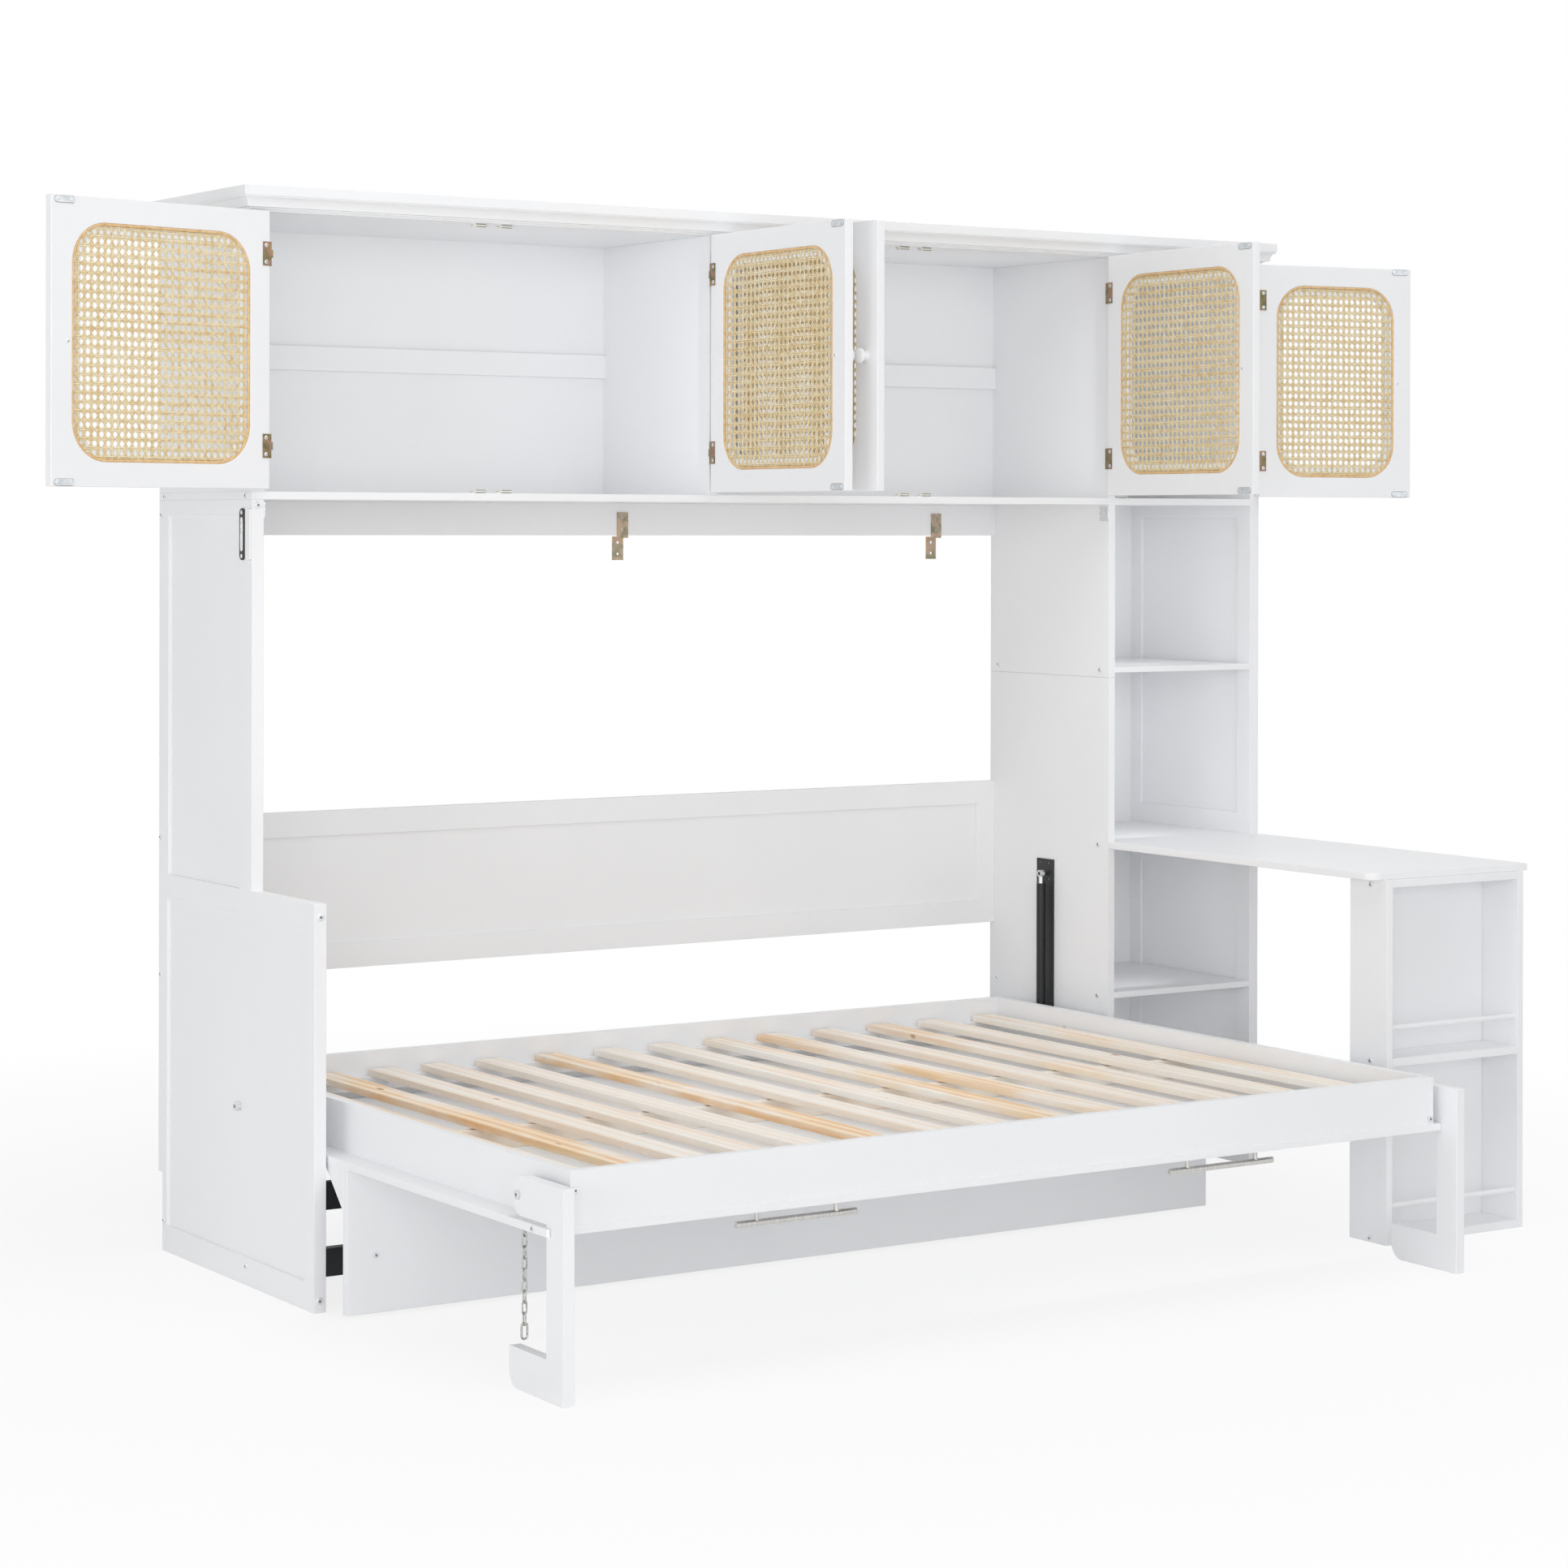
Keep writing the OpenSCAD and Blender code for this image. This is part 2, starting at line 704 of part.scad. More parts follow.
// The moving leaf, its middle knuckle and the catch strikes on the free edge
module door_leaves(i) {
    strike_l = 43;
    strike_r = 5.75;
    strike_t = 1.2;
    strike_inset = 8;
    web_w = 1.5;
    knuckle_h = hinge_l * knuckle_share - leaf_clear;
    color(bright_steel) at_hinge(i, door_open[i]) {
        for (z = hinge_zs) difference() {
            union() {
                door_block(web_w + leaf_clear, hinge_gap + leaf_w, -door_t / 2 - leaf_t, -door_t / 2,
                    z - hinge_l / 2, z + hinge_l / 2);
                door_block(-web_w, web_w + leaf_clear, -door_t / 2 - leaf_t, -door_t / 2,
                    z - knuckle_h / 2, z + knuckle_h / 2);
                door_block(-web_w, web_w, -door_t / 2 - leaf_t, -hinge_pin_r - 1,
                    z - knuckle_h / 2, z + knuckle_h / 2);
                translate([0, 0, z - knuckle_h / 2]) cylinder(h = knuckle_h, r = knuckle_r);
            }
            translate([0, 0, z - hinge_l]) cylinder(h = 2 * hinge_l, r = hinge_pin_r + running_gap);
        }
        for (z = [strike_inset, door_h - strike_inset])
            door_face(-door_t / 2 - strike_t, -door_t / 2)
                translate([door_w[i] - 7.6 - strike_l, z - strike_r])
                    rounded_rect(strike_l, 2 * strike_r, strike_r - 0.01);
    }
}

// The fixed leaf on the carcass edge, with the outer knuckles and the pin
module frame_leaf(i) {
    third = hinge_l * knuckle_share;
    leaf_n = upper_d - hinge_f;
    for (z = hinge_zs) {
        door_block(-leaf_reach[i], 1.5, leaf_n, leaf_n + leaf_t, z - hinge_l / 2, z + hinge_l / 2);
        for (s = [-1, 1]) {
            door_block(-1.5, 1.5, leaf_n, -hinge_pin_r + 0.5,
                z + s * third - third / 2, z + s * third + third / 2);
            translate([0, 0, z + s * third - third / 2]) cylinder(h = third, r = knuckle_r);
        }
        translate([0, 0, z - hinge_l / 2]) cylinder(h = hinge_l, r = hinge_pin_r);
    }
}

module frame_hinge_leaves() {
    color(bright_steel) for (i = [0:4]) at_hinge(i, 0) frame_leaf(i);
}

// ---- bed ----

// The right bolt ends in the tower's board, so its bay stays clear
module pivot_bolts() {
    head_r = 9;
    head_h = 5;
    color(bright_steel) {
        rod_x(-head_h, 0, pivot_f, pivot_z, head_r);
        rod_x(0, bed_x + board_t, pivot_f, pivot_z, pivot_r);
        rod_x(bed_end_x - board_t, tower_in_x, pivot_f, pivot_z, pivot_r);
    }
}

module bed_rails() {
    bore_r = pivot_r + running_gap;
    color(paint) {
        for (x = [bed_x, bed_end_x - board_t]) difference() {
            block(x, x + board_t, bed_rear_f, bed_front_f, bed_base_z, bed_top_z);
            rod_x(x - 1, x + board_t + 1, pivot_f, pivot_z, bore_r);
            rod_x(x - 1, x + board_t + 1, leg_pivot_f, leg_pivot_z, leg_pin_r);
        }
        for (f = [bed_rear_f, bed_front_f - board_t])
            block(bed_x + board_t + joint_gap, bed_end_x - board_t - joint_gap,
                f, f + board_t, bed_base_z, bed_top_z);
    }
}

ledge_left_x = bed_x - ledge_side;
ledge_right_x = bed_end_x + ledge_side + 2.8;
leg_pin_r = 5;

// Two boards that meet in a seam in front of the rear bearer
module bed_bottom() {
    corner_r = 5;
    seam_f = bed_rear_f + 106;
    color(paint) plan_outline(bed_under_z, bed_base_z) difference() {
        union() {
            translate([ledge_left_x, bed_rear_f])
                square([ledge_right_x - ledge_left_x, ledge_front_f - bed_rear_f - corner_r]);
            translate([ledge_left_x + corner_r, ledge_front_f - corner_r - 1])
                square([ledge_right_x - ledge_left_x - 2 * corner_r, corner_r + 1]);
            for (x = [ledge_left_x + corner_r, ledge_right_x - corner_r])
                translate([x, ledge_front_f - corner_r]) circle(corner_r);
        }
        for (x = [leg_left_x, leg_right_x])
            translate([x - leg_slot_gap, leg_slot_rear_f])
                square([leg_t + 2 * leg_slot_gap, ledge_front_f]);
        translate([ledge_left_x - 1, seam_f]) square([ledge_right_x - ledge_left_x + 2, seam_gap]);
    }
}

// Middles of the slats as shares of the bed's length: they lie loose and a little unevenly
slat_shares = [0.051, 0.1179, 0.1835, 0.2461, 0.3107, 0.3835, 0.4566,
    0.5261, 0.5987, 0.6694, 0.7428, 0.8182, 0.8887, 0.9676];
slat_end_gap = 6;

module bed_slats() {
    rear_f = bed_rear_f + board_t + slat_end_gap;
    front_f = bed_front_f - board_t - slat_end_gap;
    color(wood) for (share = slat_shares) {
        x0 = bed_x + share * bed_l - slat_w / 2;
        block(x0, x0 + slat_w, rear_f, front_f, slat_z, slat_z + slat_t);
    }
}

mid_bearer_t = 20;
mid_bearer_f = desk_board_f + 21;
mid_bearer_gap = 3;

// Two battens on the rails and a board on edge under the slats' middles
module slat_bearers() {
    x0 = bed_x + board_t;
    x1 = bed_end_x - board_t;
    color(wood) {
        block(x0, x1, bed_rear_f + board_t, bed_rear_f + 2 * board_t, slat_z - batten_h, slat_z);
        block(x0, x1, mid_bearer_f, mid_bearer_f + mid_bearer_t, bed_base_z, slat_z - mid_bearer_gap);
        block(x0, x1, bed_front_f - 2 * board_t, bed_front_f - board_t, slat_z - batten_h, slat_z);
    }
}

desk_board_x0 = 30;
desk_board_x1 = tower_x - 11.6;

module desk_board() {
    color(paint) block(desk_board_x0, desk_board_x1, desk_board_f, desk_board_f + board_t,
        desk_board_low_z, bed_under_z);
}

module desk_gussets() {
    color(paint) for (x = [desk_board_x0, desk_board_x1 - board_t])
        side_outline(x, x + board_t) polygon([[desk_board_f, bed_under_z],
            [desk_board_f - gusset_l, bed_under_z], [desk_board_f, bed_under_z - gusset_l]]);
}

module pull_handles() {
    bar_f = bed_front_f - 43.6;
    bar_z = bed_under_z - 28;
    bar_r = 6;
    bar_l = 252;
    post_span = 167;
    color(bright_steel) for (share = [0.2471, 0.7423]) {
        mid_x = bed_x + share * bed_l;
        rod_x(mid_x - bar_l / 2, mid_x + bar_l / 2, bar_f, bar_z, bar_r);
        for (s = [-1, 1]) rod_z(bar_z, bed_under_z, mid_x + s * post_span / 2, bar_f, 4.5);
    }
}

// A staple under the ledge, its bar across the bed so that the chain swings freely on it
module chain_staple() {
    wire_r = 1.5;
    half_w = 6.5;
    rod_x(chain_x - half_w - wire_r, chain_x + half_w + wire_r, chain_f, staple_z, wire_r);
    for (s = [-1, 1]) rod_z(staple_z, bed_under_z, chain_x + s * half_w, chain_f, wire_r);
}

// Leg pivot bolts, the springs' lower studs, corner bolts and the chain's staple
module bed_fittings() {
    head_r = 5.5;
    head_h = 3;
    leg_gap = 0.6;
    stud_gap = 1.5;
    color(bright_steel) {
        rod_x(leg_left_x - leg_gap, bed_x + board_t, leg_pivot_f, leg_pivot_z, leg_pin_r);
        rod_x(leg_left_x - leg_gap - head_h, leg_left_x - leg_gap, leg_pivot_f, leg_pivot_z, 8);
        rod_x(bed_end_x - board_t, leg_right_x + leg_t + leg_gap, leg_pivot_f, leg_pivot_z, leg_pin_r);
        rod_x(leg_right_x + leg_t + leg_gap, leg_right_x + leg_t + leg_gap + head_h,
            leg_pivot_f, leg_pivot_z, 8);
        rod_x(spring_x_left + spring_r + stud_gap, bed_x, stud_f, lower_eye_z, stud_r);
        rod_x(bed_end_x, spring_x_right - spring_r - stud_gap, stud_f, lower_eye_z, stud_r);
        rod_f(bed_front_f, bed_front_f + head_h, bed_x + board_t / 2, 349, head_r);
        rod_f(bed_front_f, bed_front_f + head_h, bed_end_x - board_t / 2, 300, head_r);
        rod_f(desk_board_f + board_t, desk_board_f + board_t + head_h, 88, 113, head_r);
        for (share = [0.1874, 0.3248, 0.6772, 0.8146])
            rod_f(bed_rear_f + 2 * board_t, bed_rear_f + 2 * board_t + 2,
                bed_x + share * bed_l, slat_z - batten_h / 2, 4);
        chain_staple();
    }
}

// ---- legs: a post with a foot and an upper arm, both pointing back ----

module leg_outline() {
    rear_f = leg_pivot_f - 22;
    foot_rear_f = leg_pivot_f - 30;
    arm_r = (leg_top_z - leg_arm_low_z) / 2;
    foot_r = 30;
    translate([leg_front_f - leg_post_w, 0]) square([leg_post_w, leg_top_z]);
    translate([rear_f + arm_r, leg_arm_low_z])
        square([leg_front_f - rear_f - arm_r, 2 * arm_r]);
    translate([rear_f + arm_r, leg_arm_low_z + arm_r]) circle(arm_r);
    translate([foot_rear_f + foot_r, 0]) square([leg_front_f - foot_rear_f - foot_r, leg_foot_h]);
    translate([foot_rear_f, foot_r]) square([foot_r, leg_foot_h - foot_r]);
    translate([foot_rear_f + foot_r, foot_r]) circle(foot_r);
}

module leg(x) {
    color(paint) difference() {
        side_outline(x, x + leg_t) leg_outline();
        rod_x(x - 1, x + leg_t + 1, leg_pivot_f, leg_pivot_z, leg_pin_r + running_gap);
    }
}

// ---- gas springs ----

module spring_rod(x) {
    eye_r = 8;
    color(bright_steel) difference() {
        union() {
            rod_x(x - 5, x + 5, stud_f, stud_z, eye_r);
            rod_z(stud_z - 200, stud_z - eye_r + 2, x, stud_f, spring_rod_r);
        }
        rod_x(x - 6, x + 6, stud_f, stud_z, stud_r + running_gap);
    }
}

module spring_tube(x) {
    eye_r = 9;
    color(dark_steel) difference() {
        union() {
            rod_z(tube_low_z, tube_top_z, x, stud_f, spring_r);
            rod_x(x - spring_r, x + spring_r, stud_f, lower_eye_z, eye_r);
            rod_z(lower_eye_z, tube_low_z, x, stud_f, 4);
        }
        rod_z(stud_z - 212, tube_top_z + 1, x, stud_f, spring_rod_r + running_gap);
        rod_x(x - spring_r - 1, x + spring_r + 1, stud_f, lower_eye_z, stud_r + running_gap);
    }
}

// ---- chain: links turned a quarter turn in succession, with a snap at the end ----

link_wire_r = 1.5;
link_bend_r = 4;
link_straight = 14;
link_inner_half = link_straight / 2 + link_bend_r - link_wire_r;
link_slack = 0.1;
staple_z = bed_under_z - 8;

module chain_link(z, turned, straight, bend_r, wire_r) {
    place(chain_x, chain_f, z) rotate([0, 0, turned ? 90 : 0])
        for (s = [-1, 1]) {
            translate([s * bend_r, 0, -straight / 2]) cylinder(h = straight, r = wire_r, $fn = 16);
            translate([0, 0, s * straight / 2]) rotate([90, 0, 0])
                rotate([0, 0, s < 0 ? 180 : 0]) rotate_extrude(angle = 180, $fn = 24)
                    translate([bend_r, 0]) circle(wire_r, $fn = 16);
        }
}

module chain() {
    links = 9;
    link_pitch = 2 * link_inner_half - link_slack;
    top_z = staple_z + link_wire_r + 0.3 - link_inner_half;
    snap_straight = 16;
    snap_bend_r = 5.5;
    snap_wire_r = 2;
    snap_inner_half = snap_straight / 2 + snap_bend_r - snap_wire_r;
    last_z = top_z - (links - 1) * link_pitch;
    color(bright_steel) {
        for (i = [0:links - 1])
            chain_link(top_z - i * link_pitch, i % 2 == 0, link_straight, link_bend_r, link_wire_r);
        chain_link(last_z - link_inner_half - snap_inner_half + link_slack, links % 2 == 0,
            snap_straight, snap_bend_r, snap_wire_r);
    }
}

left_side_frame();
infill_panels();
tower_inner_side();
tower_outer_side();
tower_shelves();
side_desk_top();
bookcase_case();
bookcase_shelves();
cabinet_floor();
cabinet_uprights();
cabinet_top();
back_boards();
hanging_rail();
crown_moulding();
top_back_rail();
rear_panel_frame();
wall_brackets();
cross_rails();
latch_keepers();
joint_bolts();
lock_plate();
spring_plates();
door_catches();
frame_hinge_leaves();
door_frame(0);  // door_1_frame
door_cane(0);  // door_1_cane
door_knob(0);  // door_1_knob
door_leaves(0);  // door_1_leaves
door_frame(1);  // door_2_frame
door_cane(1);  // door_2_cane
door_knob(1);  // door_2_knob
door_leaves(1);  // door_2_leaves
door_frame(2);  // door_3_frame
door_cane(2);  // door_3_cane
door_knob(2);  // door_3_knob
door_leaves(2);  // door_3_leaves
door_frame(3);  // door_4_frame
door_cane(3);  // door_4_cane
door_knob(3);  // door_4_knob
door_leaves(3);  // door_4_leaves
door_frame(4);  // door_5_frame
door_cane(4);  // door_5_cane
door_knob(4);  // door_5_knob
door_leaves(4);  // door_5_leaves
pivot_bolts();
bed_rails();
bed_bottom();
bed_slats();
slat_bearers();
desk_board();
desk_gussets();
pull_handles();
bed_fittings();
leg(leg_left_x);  // leg_left
leg(leg_right_x);  // leg_right
spring_rod(spring_x_left);  // spring_rod_left
spring_rod(spring_x_right);  // spring_rod_right
spring_tube(spring_x_left);  // spring_tube_left
spring_tube(spring_x_right);  // spring_tube_right
chain();
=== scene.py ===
import math
import random

import bmesh
import bpy
from mathutils import Matrix, Vector


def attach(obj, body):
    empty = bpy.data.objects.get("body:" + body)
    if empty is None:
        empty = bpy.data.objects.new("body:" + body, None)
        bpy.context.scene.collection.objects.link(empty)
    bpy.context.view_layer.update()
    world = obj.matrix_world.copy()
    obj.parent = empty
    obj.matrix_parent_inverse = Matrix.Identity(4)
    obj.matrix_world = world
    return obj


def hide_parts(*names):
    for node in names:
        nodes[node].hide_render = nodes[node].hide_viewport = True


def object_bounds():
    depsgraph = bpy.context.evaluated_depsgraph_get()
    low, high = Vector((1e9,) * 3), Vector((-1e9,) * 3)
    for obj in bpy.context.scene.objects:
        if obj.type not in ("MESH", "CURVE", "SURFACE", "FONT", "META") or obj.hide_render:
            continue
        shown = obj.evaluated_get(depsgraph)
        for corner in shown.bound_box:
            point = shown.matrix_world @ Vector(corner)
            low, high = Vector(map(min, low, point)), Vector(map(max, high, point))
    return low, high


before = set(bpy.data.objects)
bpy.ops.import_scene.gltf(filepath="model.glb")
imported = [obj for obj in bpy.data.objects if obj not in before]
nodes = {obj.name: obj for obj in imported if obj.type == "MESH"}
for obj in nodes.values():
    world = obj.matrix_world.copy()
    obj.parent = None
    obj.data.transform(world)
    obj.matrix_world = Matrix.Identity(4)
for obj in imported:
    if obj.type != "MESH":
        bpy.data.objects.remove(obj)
cadLow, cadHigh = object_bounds()
mm = 0.001
print("frame loaded:", len(nodes), "nodes")

# x is measured from the left side's outer face and f out from the wall, both in millimetres
originX = 1053.3
originF = 422.0


def place(x, f, z):
    return Vector(((x - originX) * mm, (originF - f) * mm, z * mm))


# ---- camera: stands left of the middle, level, with the frame shifted down ----

cameraView = {
    "position": (-2917.7, 6787.0, 1460.9), "yaw": 32.88, "pitch": -0.158, "roll": 0.121,
    "focalPixels": 4444.3, "centreU": 949.45, "centreV": 661.0, "imageSize": 1932,
    "sensorWidth": 36.0, "clip": (0.1, 100),
}


def makeCamera(view):
    yaw, pitch, roll = (math.radians(view[k]) for k in ("yaw", "pitch", "roll"))
    forward = Vector((math.sin(yaw) * math.cos(pitch), math.cos(yaw) * math.cos(pitch), math.sin(pitch)))
    right = Vector((math.cos(yaw), -math.sin(yaw), 0))
    up = right.cross(forward)
    side = right * math.cos(roll) + up * math.sin(roll)
    top = up * math.cos(roll) - right * math.sin(roll)
    data = bpy.data.cameras.new("photoCamera")
    data.sensor_width = view["sensorWidth"]
    data.lens = view["sensorWidth"] * view["focalPixels"] / view["imageSize"]
    half = view["imageSize"] / 2
    data.shift_x = (half - view["centreU"]) / view["imageSize"]
    data.shift_y = (view["centreV"] - half) / view["imageSize"]
    data.clip_start, data.clip_end = view["clip"]
    camera = bpy.data.objects.new("photoCamera", data)
    bpy.context.scene.collection.objects.link(camera)
    turn = Matrix((side, top, -forward)).transposed().to_4x4()
    camera.matrix_world = Matrix.Translation(place(*view["position"])) @ turn
    bpy.context.scene.camera = camera


makeCamera(cameraView)
print("camera placed")

# ---- small helpers ----


def toLinear(hexColour):
    parts = [int(hexColour[i:i + 2], 16) / 255 for i in (1, 3, 5)]
    return tuple(c / 12.92 if c <= 0.04045 else ((c + 0.055) / 1.055) ** 2.4 for c in parts) + (1.0,)


def addNode(tree, kind, settings=None, inputs=None, links=None, stops=()):
    # settings come first, since they can change the node's inputs; stops are a colour ramp's
    made = tree.nodes.new("ShaderNode" + kind)
    for name, value in (settings or {}).items():
        setattr(made, name, value)
    for name, value in (inputs or {}).items():
        made.inputs[name].default_value = value
    for name, source in (links or {}).items():
        tree.links.new(source, made.inputs[name])
    if stops:
        ends = made.color_ramp.elements
        while len(ends) < len(stops):
            ends.new(0.5)
        for end, (position, colour) in zip(ends, stops):
            end.position, end.color = position, toLinear(colour)
    return made


def startMaterial(name, colour, roughness, metallic=0.0, ior=1.45):
    material = bpy.data.materials.new(name)
    material.use_nodes = True
    tree = material.node_tree
    shader = tree.nodes["Principled BSDF"]
    shader.inputs["Base Color"].default_value = toLinear(colour)
    shader.inputs["Roughness"].default_value = roughness
    shader.inputs["Metallic"].default_value = metallic
    if not metallic:
        shader.inputs["IOR"].default_value = ior
    return material, tree, shader


def giveSurface(tree, shader, look, height=None, film=None):
    # film spreads the roughness about its middle value, height gives a fine relief
    if film:
        middle = shader.inputs["Roughness"].default_value
        spread = addNode(tree, "MapRange", links={"Value": film}, inputs={
            "To Min": middle - look["sheenDown"], "To Max": middle + look["sheenUp"]})
        tree.links.new(spread.outputs["Result"], shader.inputs["Roughness"])
    if height:
        relief = addNode(tree, "Bump", links={"Height": height}, inputs={
            "Distance": look["depth"], "Strength": look["strength"]})
        tree.links.new(relief.outputs["Normal"], shader.inputs["Normal"])


# ---- materials: pattern sizes are in millimetres, depths of relief in metres ----

satin = {
    "cloudMm": 420, "cloudShade": 0.975, "cloudEdge": (0.3, 0.7), "stippleMm": 2.4,
    "depth": 0.00004, "strength": 0.35, "sheenDown": 0.05, "sheenUp": 0.07,
}


def makeSatinPaint(name, colour, roughness):
    # sprayed satin paint on board: nearly white and a little cool, a faint stipple and soft sheen
    material, tree, shader = startMaterial(name, colour, roughness)
    where = addNode(tree, "TexCoord").outputs["Object"]
    cloud = addNode(tree, "TexNoise", inputs={"Scale": 1000 / satin["cloudMm"], "Detail": 2.0},
                    links={"Vector": where})
    stipple = addNode(tree, "TexNoise", inputs={"Scale": 1000 / satin["stippleMm"], "Detail": 1.0},
                      links={"Vector": where}).outputs["Fac"]
    low, high = satin["cloudEdge"]
    shade = addNode(tree, "MapRange", links={"Value": cloud.outputs["Fac"]}, inputs={
        "From Min": low, "From Max": high, "To Min": satin["cloudShade"]})
    tone = addNode(tree, "Mix", {"data_type": "RGBA", "blend_type": "MULTIPLY"},
                   inputs={"Factor": 1.0, "A": toLinear(colour)}, links={"B": shade.outputs["Result"]})
    tree.links.new(tone.outputs["Result"], shader.inputs["Base Color"])
    giveSurface(tree, shader, satin, height=stipple, film=stipple)
    return material


pine = {
    "base": "#F4E9DC", "roughness": 0.46,
    "ringMm": 27.709, "ringWander": 5.0, "bendMm": 35.714, "bendReach": 0.012, "ringsAlong": 0.035,
    "pale": [(0.0, "#FFFBF4"), (0.6, "#FFF6EA"), (1.0, "#FCEFE0")],
    "ruddy": [(0.0, "#FFEACB"), (0.5, "#FCDAAC"), (1.0, "#F3C591")],
    "heartMm": 71.429, "heartAlong": 0.16, "heartEdge": (0.42, 0.62), "heartLeast": 0.1, "heartByTone": 1.1,
    "streakMm": 1.6, "streak": "#E6D3C4", "streakEdge": (0.45, 0.85), "streakShare": 0.22,
    "knotMm": 181.818, "knotShape": (1.6, 0.55, 1.0), "knotEdge": (0.03, 0.055), "knot": "#A87B52",
    "depth": 0.00008, "strength": 0.2,
}
# a wave texture has a band in each 2 pi / 20 of its own unit
bandUnitMm = 1000 * 2 * math.pi / 20


def makePlanedPine(name, grainAxis):
    # planed pine: pale creamy boards, some ruddy with heartwood, long grain lines and small knots
    material, tree, shader = startMaterial(name, pine["base"], pine["roughness"])
    ringScale, heartScale = ([pine[key] if axis == grainAxis else 1.0 for axis in range(3)]
                             for key in ("ringsAlong", "heartAlong"))
    where = addNode(tree, "TexCoord").outputs["Object"]
    tone = addNode(tree, "Attribute", {"attribute_name": "boardTone"}).outputs["Fac"]
    shift = addNode(tree, "Attribute", {"attribute_name": "boardShift"}).outputs["Vector"]
    moved = addNode(tree, "VectorMath", {"operation": "ADD"}, links={0: where, 1: shift}).outputs[0]

    # rings, bent a little, in a pale and a ruddy version
    along = addNode(tree, "Mapping", inputs={"Scale": ringScale}, links={"Vector": moved}).outputs[0]
    bend = addNode(tree, "TexNoise", inputs={"Scale": 1000 / pine["bendMm"], "Detail": 2.0},
                   links={"Vector": along})
    bent = addNode(tree, "VectorMath", {"operation": "MULTIPLY_ADD"},
                   inputs={1: (pine["bendReach"],) * 3}, links={0: bend.outputs["Color"], 2: along})
    rings = addNode(tree, "TexWave", {"wave_type": "BANDS", "bands_direction": "X"},
                    inputs={"Scale": bandUnitMm / pine["ringMm"], "Distortion": pine["ringWander"],
                            "Detail": 2.0, "Detail Scale": 1.5},
                    links={"Vector": bent.outputs[0]}).outputs["Fac"]
    pale, ruddy = (addNode(tree, "ValToRGB", links={"Fac": rings}, stops=pine[key]).outputs["Color"]
                   for key in ("pale", "ruddy"))

    # heartwood in long patches, more of it on boards with a high tone
    heartPlace = addNode(tree, "Mapping", inputs={"Scale": heartScale}, links={"Vector": moved})
    heart = addNode(tree, "TexNoise",
                    inputs={"Scale": 1000 / pine["heartMm"], "Detail": 3.0, "Roughness": 0.55},
                    links={"Vector": heartPlace.outputs[0]})
    reach = addNode(tree, "Math", {"operation": "MULTIPLY_ADD"},
                    inputs={1: pine["heartByTone"], 2: pine["heartLeast"]}, links={0: tone})
    low, high = pine["heartEdge"]
    patch = addNode(tree, "MapRange", links={"Value": heart.outputs["Fac"]}, inputs={
        "From Min": low, "From Max": high})
    share = addNode(tree, "Math", {"operation": "MULTIPLY", "use_clamp": True},
                    links={0: patch.outputs["Result"], 1: reach.outputs[0]})
    wood = addNode(tree, "Mix", {"data_type": "RGBA"},
                   links={"Factor": share.outputs[0], "A": pale, "B": ruddy})

    # fine streaks along the grain, then knots
    streaks = addNode(tree, "TexNoise", inputs={"Scale": 1000 / pine["streakMm"], "Detail": 3.0},
                      links={"Vector": along}).outputs["Fac"]
    low, high = pine["streakEdge"]
    streakShare = addNode(tree, "MapRange", links={"Value": streaks}, inputs={
        "From Min": low, "From Max": high, "To Max": pine["streakShare"]})
    lined = addNode(tree, "Mix", {"data_type": "RGBA", "blend_type": "MULTIPLY"},
                    inputs={"B": toLinear(pine["streak"])},
                    links={"Factor": streakShare.outputs["Result"], "A": wood.outputs["Result"]})
    knotPlace = addNode(tree, "Mapping", inputs={"Scale": pine["knotShape"]}, links={"Vector": moved})
    knots = addNode(tree, "TexVoronoi", inputs={"Scale": 1000 / pine["knotMm"]},
                    links={"Vector": knotPlace.outputs[0]})
    low, high = pine["knotEdge"]
    knotShare = addNode(tree, "MapRange", links={"Value": knots.outputs["Distance"]}, inputs={
        "From Min": low, "From Max": high, "To Min": 1.0, "To Max": 0.0})
    knotted = addNode(tree, "Mix", {"data_type": "RGBA"}, inputs={"B": toLinear(pine["knot"])},
                      links={"Factor": knotShare.outputs["Result"], "A": lined.outputs["Result"]})
    tree.links.new(knotted.outputs["Result"], shader.inputs["Base Color"])
    giveSurface(tree, shader, pine, height=streaks)
    return material


rattan = {
    "fleckMm": 11.111, "fleckEdge": (0.35, 0.7), "fleckShade": (-0.1, 0.5), "strandShade": 0.55,
    "roughness": 0.42, "depth": 0.0002, "strength": 0.3,
}


def makeRattan(name, pale, mid, dark):
    # split rattan skin: honey coloured, each strand its own shade, glossy on the crown of the strand
    material, tree, shader = startMaterial(name, mid, rattan["roughness"])
    where = addNode(tree, "TexCoord").outputs["Object"]
    each = addNode(tree, "NewGeometry").outputs["Random Per Island"]
    fleck = addNode(tree, "TexNoise", inputs={"Scale": 1000 / rattan["fleckMm"], "Detail": 3.0},
                    links={"Vector": where}).outputs["Fac"]
    low, high = rattan["fleckEdge"]
    least, most = rattan["fleckShade"]
    flecked = addNode(tree, "MapRange", links={"Value": fleck}, inputs={
        "From Min": low, "From Max": high, "To Min": least, "To Max": most})
    shade = addNode(tree, "Math", {"operation": "MULTIPLY_ADD", "use_clamp": True},
                    inputs={1: rattan["strandShade"]}, links={0: each, 2: flecked.outputs["Result"]})
    skin = addNode(tree, "ValToRGB", links={"Fac": shade.outputs[0]},
                   stops=[(0.0, pale), (0.5, mid), (1.0, dark)])
    tree.links.new(skin.outputs["Color"], shader.inputs["Base Color"])
    giveSurface(tree, shader, rattan, height=fleck)
    return material


